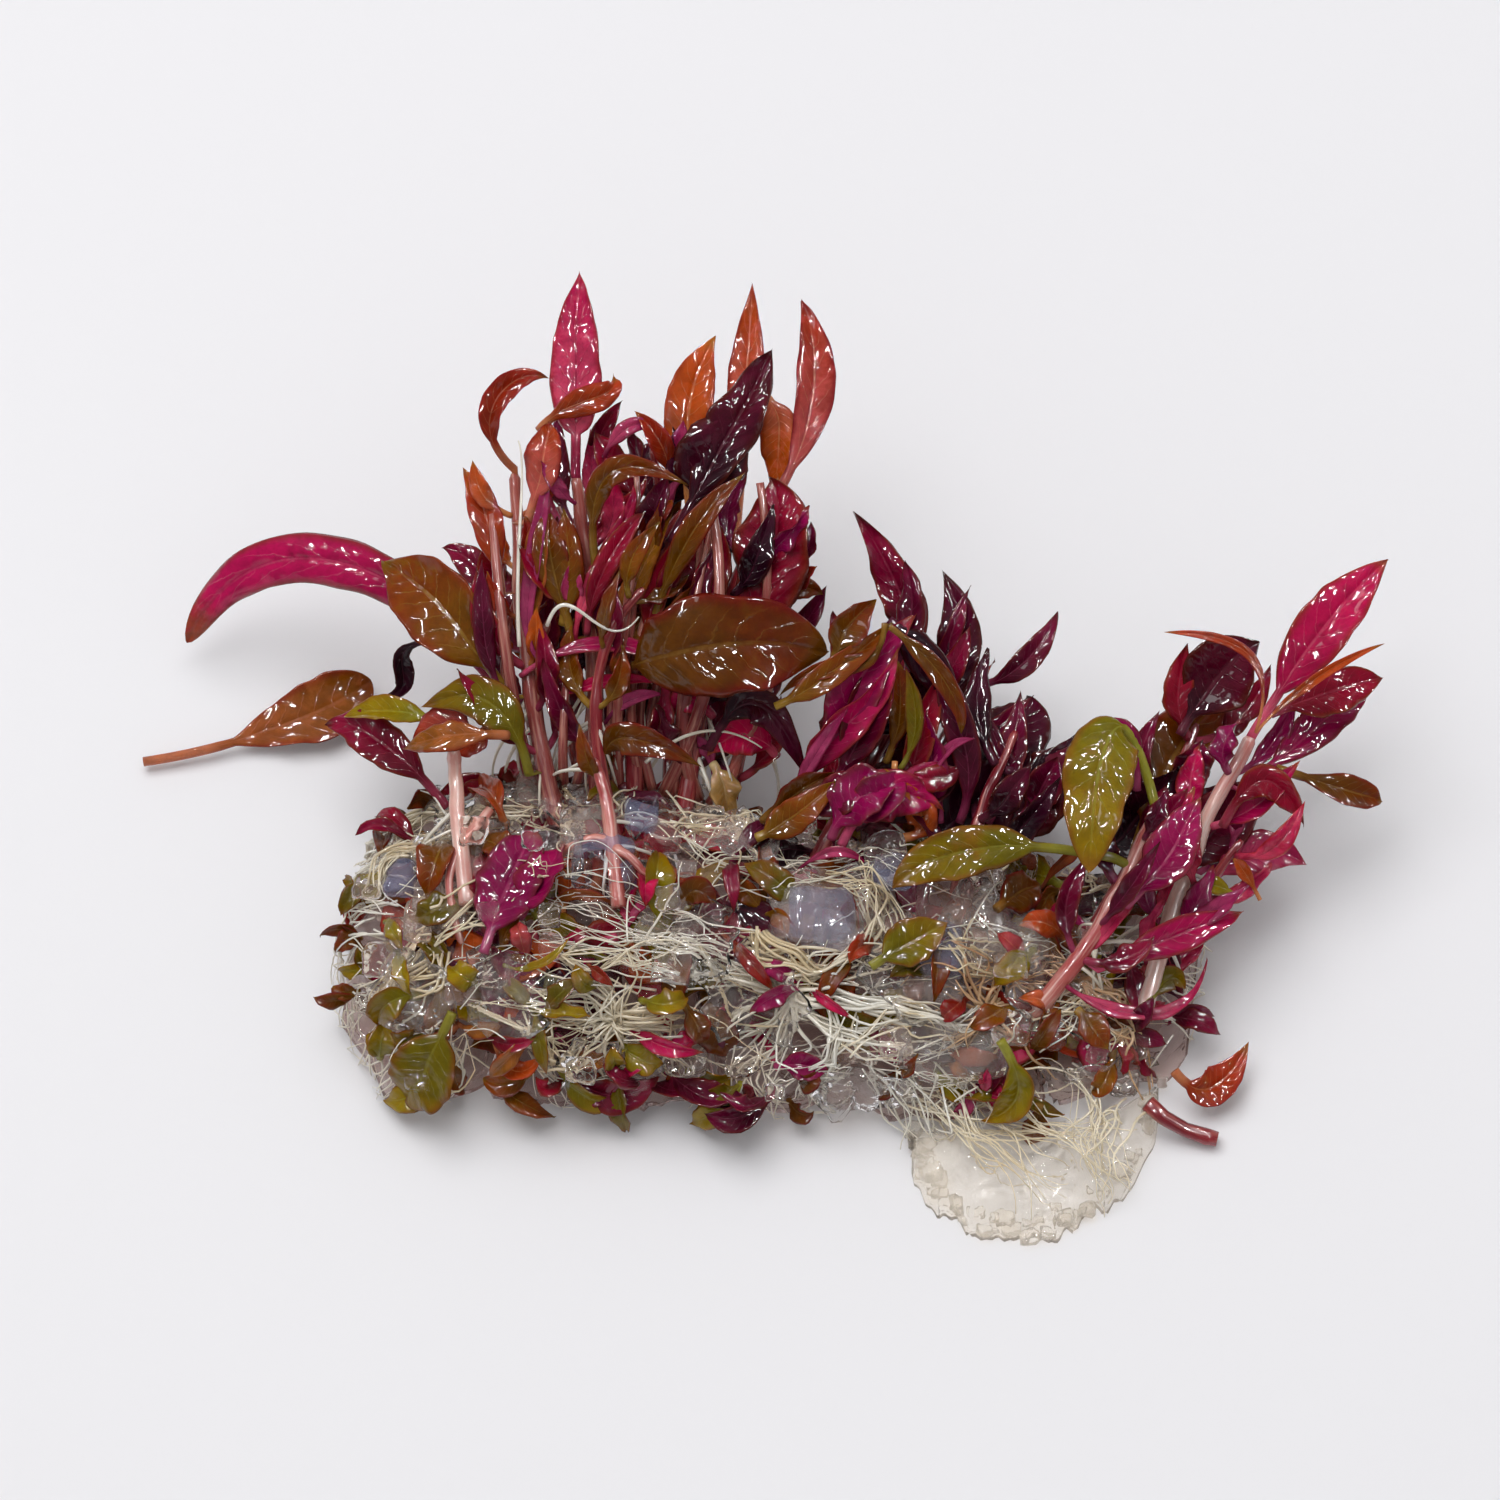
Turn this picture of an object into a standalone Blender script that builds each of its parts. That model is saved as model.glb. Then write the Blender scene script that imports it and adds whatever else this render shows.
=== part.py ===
"""A clump of young alternanthera lying on its side: torn growing jelly, roots, stems and red leaves.

All lengths below are millimetres until put() makes them metres. The origin is on the flat underside of
the jelly, +Z is up, -Y is the rooted front and the shoots point back, along +Y.
"""

import math

import bmesh
import bpy
from mathutils import Matrix, Vector, noise

MM = 0.001

# The jelly strip: its front toe, back toe and crest height at stations along its length.
JELLY_X = (-43, -38, -28, -16, -4, 6, 14, 22, 30, 38)
JELLY_FRONT = (-5, -10.5, -12, -12, -12, -12.5, -13, -12.5, -11, -6)
JELLY_BACK = (14, 18, 20, 19, 18, 17, 16, 14, 12, 8)
JELLY_CREST = (7, 12, 14.5, 15, 14.5, 13.5, 13, 11, 8, 4.5)
JELLY_BULGE = 2.0
JELLY_CHIPS = 1.5
# The torn skin: how wide its chunks are, how deep the creases between them and what share of a chunk they
# take, how far a chunk may sink in, the skin's length over the crest, and the crest's height from which it
# is torn to the full depth.
CHUNK_WIDTH = 7.0
CREASE_DEPTH = 1.9
CREASE_SHARE = 0.5
CHUNK_SINK = 1.1
SKIN_RUN = 40.0
TORN_CREST = 11.5
# Where the strip is torn across: the place along it, and how far the tear runs to +X for each mm of depth.
TEARS = ((-43, 0.12), (-26, 0.3), (-9, -0.22), (6, 0.25), (22, -0.2), (38, 0.1))
TEAR_GAP = 0.35
LUMP_STATIONS = 10
LUMP_ARC_STEPS = 22
TAIL_MIDDLE = 23.0
TAIL_LENGTH = 23.0
TAIL_REACH = 11.5
TAIL_HEIGHT = 5.5
TAIL_STATIONS = 14
TAIL_ARC_STEPS = 12
TAIL_CHUNKS = 0.6

# Leaves: a stalk that widens into a thin, folded blade.
BLADE_THICKNESS = 0.6
STALK_THICKNESS = 1.0
BLADE_STEPS = (0.0, 0.14, 0.31, 0.51, 0.71, 0.89)
ACROSS = (-1.0, -0.5, 0.0, 0.5, 1.0)

# Stems and roots.
STEM_SIDES = 7
STEM_STEPS = 8
STALK_STEP = 1.95
END_STEP = 0.9
ROOT_LIFT = 0.8
ROOT_THICKNESS = 0.8

# The side that most leaves turn up: up, and a little to the front.
FACING = Vector((0.0, -0.35, 1.0)).normalized()

for old in list(bpy.data.objects):
    bpy.data.objects.remove(old, do_unlink=True)


def finish(name, colour, roughness, transmission=0.0):
    """One Principled finish; colours are linear."""
    material = bpy.data.materials.new(name)
    material.use_nodes = True
    shader = material.node_tree.nodes["Principled BSDF"]
    shader.inputs["Base Color"].default_value = (*colour, 1.0)
    shader.inputs["Roughness"].default_value = roughness
    shader.inputs["Metallic"].default_value = 0.0
    shader.inputs["Transmission Weight"].default_value = transmission
    shader.inputs["IOR"].default_value = 1.34
    return material


JELLY = finish("jelly", (0.72, 0.74, 0.82), 0.15, 0.8)
ROOT = finish("root", (0.75, 0.62, 0.42), 0.4)
STEM = finish("stem", (0.72, 0.22, 0.17), 0.3)
MAGENTA = finish("magenta_leaf", (0.33, 0.01, 0.1), 0.2)
WINE = finish("wine_leaf", (0.1, 0.006, 0.03), 0.2)
COPPER = finish("copper_leaf", (0.4, 0.09, 0.03), 0.25)
BRONZE = finish("bronze_leaf", (0.14, 0.055, 0.008), 0.2)
OLIVE = finish("olive_leaf", (0.17, 0.15, 0.01), 0.25)


def put(name, corners, faces, material):
    """An object from corners in millimetres; its faces are turned outwards."""
    mesh = bpy.data.meshes.new(name)
    mesh.from_pydata([tuple(Vector(c) * MM) for c in corners], [], faces)
    shape = bmesh.new()
    shape.from_mesh(mesh)
    bmesh.ops.recalc_face_normals(shape, faces=shape.faces)
    shape.to_mesh(mesh)
    shape.free()
    mesh.shade_smooth()
    mesh.set_sharp_from_angle(angle=math.radians(50))
    mesh.materials.append(material)
    piece = bpy.data.objects.new(name, mesh)
    bpy.context.scene.collection.objects.link(piece)
    return piece


def between(x, places, values):
    """The value at x on the straight runs between places."""
    x = min(max(x, places[0]), places[-1])
    for i in range(len(places) - 1):
        if x <= places[i + 1]:
            share = (x - places[i]) / (places[i + 1] - places[i])
            return values[i] + share * (values[i + 1] - values[i])
    return values[-1]


def jelly_skin(x, a, size=1.0):
    """The strip's skin at x: a runs from 0 at the front toe over the crest to 1 at the back toe."""
    front = between(x, JELLY_X, JELLY_FRONT)
    back = between(x, JELLY_X, JELLY_BACK)
    crest = between(x, JELLY_X, JELLY_CREST)
    turn = math.pi * a
    bulge = JELLY_BULGE * noise.noise(Vector((0.15 * x, 4.5 * a, 3.0)))
    bulge += JELLY_CHIPS * noise.noise(Vector((0.27 * x, 7.5 * a, 7.0)))
    half = (back - front) / 2 * size + bulge
    y = (front + back) / 2 - half * math.cos(turn)
    z = (crest * size + bulge) * max(math.sin(turn), 0.0) ** 0.85
    return Vector((x, y, z))


def on_jelly(x, a, lift, size=1.0):
    """A point held lift above the strip's skin."""
    ahead = jelly_skin(x, a + 0.01, size) - jelly_skin(x, a - 0.01, size)
    outward = Vector((0.0, -ahead.z, ahead.y)).normalized()
    return jelly_skin(x, a, size) + outward * lift


def torn(x, run):
    """How deep the torn skin lies at x and run, both lengths along it: sunken chunks with creases between."""
    apart, cores = noise.voronoi(Vector((x, run, 0.0)) / CHUNK_WIDTH)
    inside = min(1.0, (apart[1] - apart[0]) / CREASE_SHARE)
    inside *= inside * (3 - 2 * inside)
    sunk = CHUNK_SINK * (0.5 + noise.noise(cores[0] * 7.3))
    return CREASE_DEPTH * (1 - inside) + sunk * inside


def loft(name, rings, material):
    """A closed body through rings of equal size, each running over the top and back along the floor."""
    each = len(rings[0])
    corners = []
    faces = []
    for ring in rings:
        corners += ring
    for i in range(len(rings) - 1):
        for k in range(each):
            a = i * each + k
            b = i * each + (k + 1) % each
            faces.append((a, b, b + each, a + each))
    faces.append(tuple(range(each))[::-1])
    faces.append(tuple(range(len(corners) - each, len(corners))))
    return put(name, corners, faces, material)


def jelly_lump(name, left, right):
    """One lump of the strip between two tears, flat underneath, with its torn ends drawn in."""
    rings = []
    for i in range(LUMP_STATIONS):
        share = i / (LUMP_STATIONS - 1)
        x = left[0] + TEAR_GAP / 2 + share * (right[0] - left[0] - TEAR_GAP)
        slant = left[1] + share * (right[1] - left[1])
        size = 1.0 - 0.16 * abs(2 * share - 1) ** 5
        crest = between(x, JELLY_X, JELLY_CREST)
        ring = []
        for k in range(LUMP_ARC_STEPS + 1):
            a = k / LUMP_ARC_STEPS
            along = x + slant * jelly_skin(x, a).y
            deep = torn(along, SKIN_RUN * a) * min(1.0, 8 * a, 8 * (1 - a), crest / TORN_CREST)
            spot = on_jelly(along, a, -deep, size)
            spot.x = x + slant * spot.y
            ring.append(spot)
        rings.append(ring)
    return loft(name, rings, JELLY)


def jelly_tail(name):
    """The low pale heap that has slipped out in front of the strip."""
    rings = []
    for i in range(TAIL_STATIONS + 1):
        x = TAIL_MIDDLE + TAIL_LENGTH * (i / TAIL_STATIONS - 0.5)
        share = math.sqrt(max(0.0, 1 - (2 * i / TAIL_STATIONS - 1) ** 2))
        wobble = noise.noise(Vector((0.3 * x, 0.0, 9.0)))
        back = between(x, JELLY_X, JELLY_FRONT) - 1.1
        reach = TAIL_REACH * (0.3 + 0.7 * share) + 2.0 * wobble
        height = TAIL_HEIGHT * (0.45 + 0.55 * share) + wobble
        ring = []
        for k in range(TAIL_ARC_STEPS + 1):
            turn = math.pi * k / TAIL_ARC_STEPS
            y = back - reach * (0.5 + 0.5 * math.cos(turn))
            z = (height - TAIL_CHUNKS * torn(x, y)) * max(math.sin(turn), 0.0) ** 0.7
            ring.append(Vector((x, y, z)))
        rings.append(ring)
    return loft(name, rings, JELLY)


def through(points, t):
    """The point at t on the smooth curve through evenly spaced points."""
    work = [Vector(p) for p in points]
    last = len(work) - 1
    for step in range(1, last + 1):
        for i in range(last + 1 - step):
            work[i] = work[i].lerp(work[i + 1], (t * last - i) / step)
    return work[0]


def heading(points, t):
    """The direction of that curve at t."""
    return (through(points, t + 0.01) - through(points, t - 0.01)).normalized()


def grown(route, t, *rest):
    """A stalk's course: from the side of a stem at t (or from its end, at 1) through the points in rest."""
    start = through(route, t)
    along = heading(route, t)
    if t == 1:
        return (start + along * END_STEP, *rest)
    out = Vector(rest[0]) - start
    out -= out.project(along)
    return (start + out.normalized() * STALK_STEP, *rest)


def stem(name, route, thick, thin, material=STEM):
    """A round stem that tapers from thick to thin, both diameters."""
    rings = []
    for i in range(STEM_STEPS + 1):
        t = i / STEM_STEPS
        along = heading(route, t)
        side = along.cross(FACING).normalized()
        up = side.cross(along)
        radius = (thick + t * (thin - thick)) / 2
        ring = []
        for k in range(STEM_SIDES):
            turn = 2 * math.pi * k / STEM_SIDES
            ring.append(through(route, t) + radius * (math.cos(turn) * side + math.sin(turn) * up))
        rings.append(ring)
    return loft(name, rings, material)


def outline(u, widest, taper):
    """A blade's share of its width at u: it swells to its full width at widest, then draws out to its tip."""
    rise = taper * widest / (1 - widest)
    return (u / widest) ** rise * ((1 - u) / (1 - widest)) ** taper


def leaf(name, points, width, material, roll=0.0, twist=0.0, fold=14.0, stalk=0.16, widest=0.42, taper=1.1,
         wave=0.0):
    """One leaf: its stalk and blade follow points, from its foot to its tip.

    roll turns the blade about its midrib, twist adds to that from foot to tip, fold lifts both halves;
    all are degrees. stalk and widest are shares of the length, taper is how finely the tip draws out and
    wave is how far its edges ripple.
    """
    corners = []
    faces = []
    stations = [0.0, stalk / 2] + [stalk + (1 - stalk) * u for u in BLADE_STEPS]
    for t in stations:
        u = max(0.0, (t - stalk) / (1 - stalk))
        blade = width * outline(u, widest, taper)
        half = max(blade, STALK_THICKNESS * (1 - u)) / 2
        depth = BLADE_THICKNESS + (STALK_THICKNESS - BLADE_THICKNESS) * max(0.0, 1 - 3 * u)
        along = heading(points, t)
        side = along.cross(FACING).normalized()
        side.rotate(Matrix.Rotation(math.radians(roll + twist * (t - 0.5)), 3, along))
        up = side.cross(along)
        lift = math.tan(math.radians(fold)) * min(1.0, 2 * u)
        ripple = wave * math.sin(5 * math.pi * u) * min(1.0, 3 * u)
        middle = through(points, t)
        upper = []
        lower = []
        for s in ACROSS:
            rise = lift * half * abs(s) + ripple * s * abs(s)
            thick = depth / 2 * (1 - s * s)
            spot = middle + side * (s * half) + up * rise
            upper.append(spot + up * thick)
            lower.append(spot - up * thick)
        corners += upper + lower[-2:0:-1]
    # Both sides of a blade are split into triangles alike, along its veins: they stay apart where it ripples.
    ring = 2 * len(ACROSS) - 2
    for i in range(len(stations) - 1):
        for k in range(ring):
            a = i * ring + k
            b = i * ring + (k + 1) % ring
            if k % (ring // 2) < ring // 4:
                faces += ((a, b, a + ring), (b, b + ring, a + ring))
            else:
                faces += ((a, b, b + ring), (a, b + ring, a + ring))
    tip = len(corners)
    corners.append(through(points, 1.0))
    last = (len(stations) - 1) * ring
    for k in range(ring):
        faces.append((last + k, last + (k + 1) % ring, tip))
    faces.append(tuple(range(ring))[::-1])
    return put(name, corners, faces, material)


def root_star(name, centre_x, centre_a, reaches, bend=0.35):
    """A spread of roots lying on the jelly: one tapering ray for each of reaches."""
    count = len(reaches)
    arc = 45.0
    shares = ((0.16, 0.5), (0.4, 0.3), (0.7, 0.2))

    def spot(turn, reach, lift):
        turn += bend * reach / 10.0 + 0.35 * noise.noise(Vector((1.3 * turn, centre_x, 0.0)))
        a = centre_a + reach * math.sin(turn) / arc
        return on_jelly(centre_x + reach * math.cos(turn), min(max(a, 0.03), 0.9), lift)

    corners = []
    for lift in (ROOT_LIFT + ROOT_THICKNESS, ROOT_LIFT):
        for i, reach in enumerate(reaches):
            turn = 2 * math.pi * i / count
            for share, half in shares:
                for side in (-1, 1):
                    apart = math.pi / count if share == shares[0][0] else 0.7 / (reach * share)
                    opening = side * half * apart
                    corners.append(spot(turn + opening, max(1.6, reach * share), lift))
    rays = len(corners) // 2
    tips = len(corners)
    for i, reach in enumerate(reaches):
        corners.append(spot(2 * math.pi * i / count, reach, ROOT_LIFT + ROOT_THICKNESS / 2))
    crown = len(corners)
    corners.append(spot(0.0, 0.0, ROOT_LIFT + 1.4 * ROOT_THICKNESS))
    corners.append(spot(0.0, 0.0, ROOT_LIFT))
    faces = []
    each = 2 * len(shares)
    for i in range(count):
        top = [i * each + k for k in range(each)]
        low = [rays + k for k in top]
        after = (i + 1) % count * each
        for k in range(len(shares) - 1):
            p = 2 * k
            faces.append((top[p], top[p + 1], top[p + 3], top[p + 2]))
            faces.append((low[p], low[p + 2], low[p + 3], low[p + 1]))
            faces.append((top[p], top[p + 2], low[p + 2], low[p]))
            faces.append((top[p + 1], low[p + 1], low[p + 3], top[p + 3]))
        tip = tips + i
        faces.append((top[-2], top[-1], tip))
        faces.append((low[-1], low[-2], tip))
        faces.append((top[-2], tip, low[-2]))
        faces.append((top[-1], low[-1], tip))
        faces.append((crown, top[0], top[1]))
        faces.append((crown, top[1], after))
        faces.append((crown + 1, low[1], low[0]))
        faces.append((crown + 1, rays + after, low[1]))
        faces.append((top[1], low[1], rays + after, after))
    return put(name, corners, faces, ROOT)


# The torn jelly, from left to right, and the heap in front of it.
LUMPS = ("jelly_left", "jelly_under_bush", "jelly_middle", "jelly_right", "jelly_end")
for lump, left, right in zip(LUMPS, TEARS, TEARS[1:]):
    jelly_lump(lump, left, right)
jelly_tail("jelly_tail")

# The root spreads on the jelly's front.
root_star("roots_bush", -17, 0.22, (8, 7, 8, 6, 9, 7, 8, 9, 6, 8, 7, 9))
root_star("roots_middle", -1, 0.25, (14, 10, 6, 8, 6, 8, 7, 11, 9, 8, 8, 7))
root_star("roots_right", 19, 0.27, (8, 6, 7, 5, 7, 8, 10, 8, 8, 7, 9, 9))

# The stems, each from the jelly to its top.
TALL = (on_jelly(-23, 0.75, 0.9), (-25, 27, 19), (-26, 41, 27))
WINY = (on_jelly(-18.5, 0.78, 0.9), (-19, 30.5, 21.5), (-20, 40, 28))
RED = (on_jelly(-15, 0.78, 0.9), (-14, 30, 20), (-10, 38, 25.5))
DARK = (on_jelly(-10, 0.78, 0.9), (-7, 28, 18.5), (-3, 37, 24.5))
MIDDLE = (on_jelly(4, 0.72, 0.9), (7.5, 18.5, 13), (10.5, 24.5, 15.5))
ROSE = (on_jelly(26, 0.42, 1.5), (30, 3, 13), (34, 11, 15.5))
PALE = (on_jelly(34.5, 0.5, 1.5), (38, 10, 11), (43, 19, 16))
stem("tall_stem", TALL, 1.9, 1.2)
stem("wine_stem", WINY, 1.9, 1.3)
stem("red_stem", RED, 1.9, 1.3)
stem("dark_stem", DARK, 2.0, 1.3)
stem("middle_stem", MIDDLE, 2.2, 1.6)
stem("rose_stem", ROSE, 1.8, 1.3)
stem("pale_stem", PALE, 1.8, 1.4)
stem("left_front_stem", (on_jelly(-30.6, 0.58, 1.2), on_jelly(-31.4, 0.67, 3), (-31.5, 17, 17.5)), 1.7, 1.3)
stem("front_stem", (on_jelly(-16.3, 0.58, 1.1), on_jelly(-17.2, 0.67, 3), (-18.2, 15.5, 18)), 1.5, 1.1)

# Leaves of the tall stem, the leaf that has dropped beside it, and those low on its left.
leaf("drooping_leaf", grown(TALL, 0.22, (-37, 34, 17.3), (-50, 39, 14.5), (-60, 35, 5)), 4.8, MAGENTA,
     roll=-12, stalk=0.12, widest=0.5, taper=0.55)
leaf("fallen_leaf", ((-64, 24, 1.2), (-52, 27, 1.8), (-42, 32, 3)), 6.6, BRONZE, fold=8, stalk=0.3,
     widest=0.62, taper=0.8)
leaf("bronze_leaf", grown(TALL, 0.35, (-33, 30, 21), (-39, 36, 20)), 7.4, BRONZE, roll=-8, fold=20)
leaf("small_red_leaf", grown(TALL, 0.5, (-30, 36, 17.5), (-34, 39, 17)), 3.2, WINE)
leaf("golden_leaf", grown(TALL, 0.68, (-28.5, 37, 26), (-31, 42.5, 26.5)), 3.0, COPPER, fold=30)
leaf("looped_leaf", grown(TALL, 1, (-28, 44.5, 32), (-26, 47.5, 33.8), (-22.5, 48.5, 33)), 2.6, COPPER,
     twist=40, fold=35)
leaf("high_oval_leaf", grown(TALL, 0.88, (-22.8, 40.5, 31.5), (-22.5, 44, 32.5)), 3.6, COPPER, fold=22)
leaf("olive_leaf_left", grown(TALL, 0.08, (-28, 21, 19.5), (-35, 22, 17)), 4.4, OLIVE)
leaf("wine_leaf_left", (on_jelly(-33, 0.78, 1.2), (-39.5, 21, 12), (-45, 23.5, 10)), 4.4, WINE, fold=10)

# Leaves of the wine-coloured stem, with the highest of all.
leaf("highest_leaf", grown(WINY, 1, (-20, 50.5, 33), (-20, 59, 35)), 4.8, MAGENTA, fold=18,
     widest=0.3, taper=1.0)
leaf("dark_olive_leaf", grown(WINY, 0.4, (-22.3, 33, 26.3), (-22.3, 37, 28)), 3.4, BRONZE)
leaf("arched_leaf", grown(WINY, 0.62, (-16.5, 38, 33), (-9, 37.5, 32)), 2.6, BRONZE, fold=30)
leaf("long_brown_leaf", grown(WINY, 0.05, (-15, 17.5, 19.5), (-8, 15.5, 17)), 3.2, BRONZE, roll=10,
     fold=25)

# Leaves of the red stem, with the broad one across the front of the bush.
leaf("copper_leaf", grown(RED, 1, (-9.5, 47, 29.5), (-7, 53, 33)), 4.6, COPPER, fold=24)
leaf("wet_purple_leaf", grown(RED, 0.85, (-5.5, 43.5, 31.5), (-1.5, 50.5, 35)), 5.0, WINE, fold=24,
     wave=0.8)
leaf("narrow_grey_leaf", grown(RED, 0.5, (-9, 34, 28.5), (-4, 39.5, 31)), 2.6, BRONZE, fold=25)
leaf("magenta_strip_leaf", grown(RED, 0.45, (-9.2, 33.5, 22.5), (-7.5, 38.5, 25)), 3.0, MAGENTA)
leaf("broad_oval_leaf", grown(RED, 0.35, (-12.5, 23.5, 24), (-5, 23.5, 27.5), (4, 24, 24.5)), 9.6, BRONZE,
     roll=12, fold=7, stalk=0.2, widest=0.52, taper=0.72)

# Leaves of the dark stem.
leaf("red_leaf", grown(DARK, 1, (2, 47.5, 30), (1, 57, 33)), 3.8, COPPER, roll=20, fold=26, widest=0.5)
leaf("orange_leaf", grown(DARK, 0.9, (-4.5, 47, 27), (-4, 60, 31)), 3.4, COPPER, fold=26, stalk=0.4)
leaf("broad_purple_leaf", grown(DARK, 0.35, (-1.5, 34, 24.5), (-2, 40.5, 28)), 7.4, WINE, roll=-10)
leaf("arching_leaf", grown(DARK, 0.15, (-3, 21, 19.5), (1.5, 16, 14)), 3.6, WINE, roll=15, fold=30)

# Leaves on the jelly's front.
leaf("heart_leaf", (on_jelly(-31, 0.27, 1.5), on_jelly(-34, 0.16, 2.2), on_jelly(-36, 0.05, 1.6)), 6.6, OLIVE,
     fold=20, taper=0.8)
leaf("magenta_jelly_leaf", (on_jelly(-28, 0.37, 1.3), on_jelly(-26, 0.5, 1.8), on_jelly(-24, 0.62, 1.6)), 6.0,
     MAGENTA, taper=0.8)
leaf("bright_olive_leaf", (on_jelly(8, 0.37, 2.6), on_jelly(11.5, 0.42, 3.0), on_jelly(15, 0.48, 2.2)), 4.4,
     OLIVE, fold=25)
leaf("curved_olive_leaf", (on_jelly(20, 0.26, 2.6), on_jelly(21.5, 0.15, 3), on_jelly(18, 0.08, 2.6)), 3.2,
     OLIVE, fold=30)

# Leaves of the middle stem.
leaf("middle_tall_leaf", grown(MIDDLE, 1, (10.5, 31.5, 20.5), (6, 38, 26)), 4.0, WINE, fold=24)
leaf("middle_wavy_leaf", grown(MIDDLE, 0.8, (6, 24.5, 20), (4, 30, 21)), 3.6, WINE, wave=0.8)
leaf("middle_dark_leaf", grown(MIDDLE, 0.7, (15.5, 28, 15.5), (14, 36, 18)), 4.4, WINE, fold=20)
leaf("middle_purple_leaf", grown(MIDDLE, 0.3, (6, 20.5, 21.5), (12, 28, 25)), 5.0, MAGENTA, roll=12, fold=22)
leaf("middle_magenta_leaf", (on_jelly(5, 0.62, 1.6), (9, 12.5, 17), (14.5, 12, 15)), 5.0, MAGENTA, roll=10)
leaf("shadowed_leaf", grown(MIDDLE, 0.15, (19, 20, 11), (22, 27, 9.5)), 6.5, WINE, stalk=0.4)

# Leaves of the rose stem, on the right.
leaf("long_olive_leaf", grown(ROSE, 0.75, (17.5, 7, 17.5), (10, 3.5, 16)), 4.8, OLIVE, roll=-8, stalk=0.25,
     taper=0.9)
leaf("yellow_oval_leaf", grown(ROSE, 1, (31, 18, 20.5), (29, 12.5, 21), (28, 4.5, 17.5)), 6.6, OLIVE,
     fold=10, stalk=0.34, taper=0.8)
leaf("big_bronze_leaf", grown(ROSE, 0.8, (35.5, 18.5, 11), (41, 26.5, 11.5)), 7.6, BRONZE, stalk=0.2)
leaf("mauve_leaf", grown(ROSE, 0.55, (35.5, 6.5, 17.5), (38.5, 12, 18.5)), 4.8, MAGENTA, roll=-8, fold=20)
leaf("crimson_leaf", grown(ROSE, 0.15, (36, 0.5, 12), (42.5, 4, 10.5)), 3.4, MAGENTA, roll=12, fold=28)
leaf("curled_copper_leaf", ((36, -9.5, 4), (39.5, -10.5, 2.4), (43, -6, 3)), 3.6, COPPER, fold=28)

# Leaves of the pale stem, at the right-hand end.
leaf("pink_leaf", grown(PALE, 0.35, (43.5, 10.5, 9), (48.5, 10, 8)), 4.2, COPPER)
leaf("pale_shoot_leaf", grown(PALE, 1, (50, 28, 21), (56, 34, 23.5)), 5.4, MAGENTA, fold=20)
leaf("pale_shoot_low_leaf", grown(PALE, 0.8, (50, 22.5, 13), (54.5, 27.5, 13)), 4.0, MAGENTA)
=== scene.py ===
import math
import random

import bpy
import bmesh
from mathutils import Matrix, Vector, noise
from mathutils.bvhtree import BVHTree


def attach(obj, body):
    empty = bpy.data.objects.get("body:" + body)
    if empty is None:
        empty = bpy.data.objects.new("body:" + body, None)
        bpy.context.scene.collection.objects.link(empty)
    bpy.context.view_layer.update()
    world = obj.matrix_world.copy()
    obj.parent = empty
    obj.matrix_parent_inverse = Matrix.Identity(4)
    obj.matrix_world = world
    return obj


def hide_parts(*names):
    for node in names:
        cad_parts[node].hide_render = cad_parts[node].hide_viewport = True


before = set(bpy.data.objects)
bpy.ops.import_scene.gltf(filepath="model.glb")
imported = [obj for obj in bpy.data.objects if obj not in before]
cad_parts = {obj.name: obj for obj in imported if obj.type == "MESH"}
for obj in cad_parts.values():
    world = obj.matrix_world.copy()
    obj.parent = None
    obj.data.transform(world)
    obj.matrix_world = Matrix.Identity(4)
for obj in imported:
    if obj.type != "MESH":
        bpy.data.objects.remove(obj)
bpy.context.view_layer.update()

# Camera
# The clump is looked down on from the front, about sixty degrees above the table and 0.6 m away. Lengths in
# this file are millimetres until MM makes them metres.
MM = 0.001
CAMERA_PLACE = Vector((37.3, -237.5, 532.7))
CAMERA_AIM = Vector((-4.4, 21.9, 8.0))
CAMERA_ANGLE = 13.9
CAMERA_NEAR = 10

camera = bpy.data.objects.new("camera", bpy.data.cameras.new("camera"))
look = (CAMERA_AIM - CAMERA_PLACE).normalized()
level = Vector((1, 0, 0))
level = (level - look * level.dot(look)).normalized()
turned = Matrix((level, level.cross(look), -look)).transposed().to_4x4()
camera.matrix_world = Matrix.Translation(CAMERA_PLACE * MM) @ turned
camera.data.angle = math.radians(CAMERA_ANGLE)
camera.data.clip_start = CAMERA_NEAR * MM
bpy.context.scene.collection.objects.link(camera)
bpy.context.scene.camera = camera
bpy.context.scene.view_settings.view_transform = "Standard"


# Floor
# A smooth, pale table top. It is matt enough to take only soft shadows, and it reaches past the frame.
def add(tree, kind, inputs=None, **settings):
    """One node; each input is a number, a colour or another node's output."""
    node = tree.nodes.new("ShaderNode" + kind)
    for name, value in settings.items():
        setattr(node, name, value)
    for name, value in (inputs or {}).items():
        if isinstance(value, bpy.types.NodeSocket):
            tree.links.new(value, node.inputs[name])
        else:
            node.inputs[name].default_value = value
    return node


def new_finish(name):
    """An empty material, its node tree and its output's surface socket."""
    material = bpy.data.materials.new(name)
    material.use_nodes = True
    tree = material.node_tree
    tree.nodes.clear()
    return material, tree, add(tree, "OutputMaterial").inputs["Surface"]


def paint(red, green, blue):
    """A colour from its 0 to 255 screen values, as the linear colour that shaders take."""
    linear = [((c / 255 + 0.055) / 1.055) ** 2.4 if c > 10 else c / 255 / 12.92 for c in (red, green, blue)]
    return (*linear, 1.0)


def grain(tree, place, scale, detail, roughness=0.5, distortion=0.0):
    """The value, from 0 to 1, of a fine irregular pattern at place."""
    return add(tree, "TexNoise", {"Vector": place, "Scale": scale, "Detail": detail, "Roughness": roughness,
                                  "Distortion": distortion}).outputs["Fac"]


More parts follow.
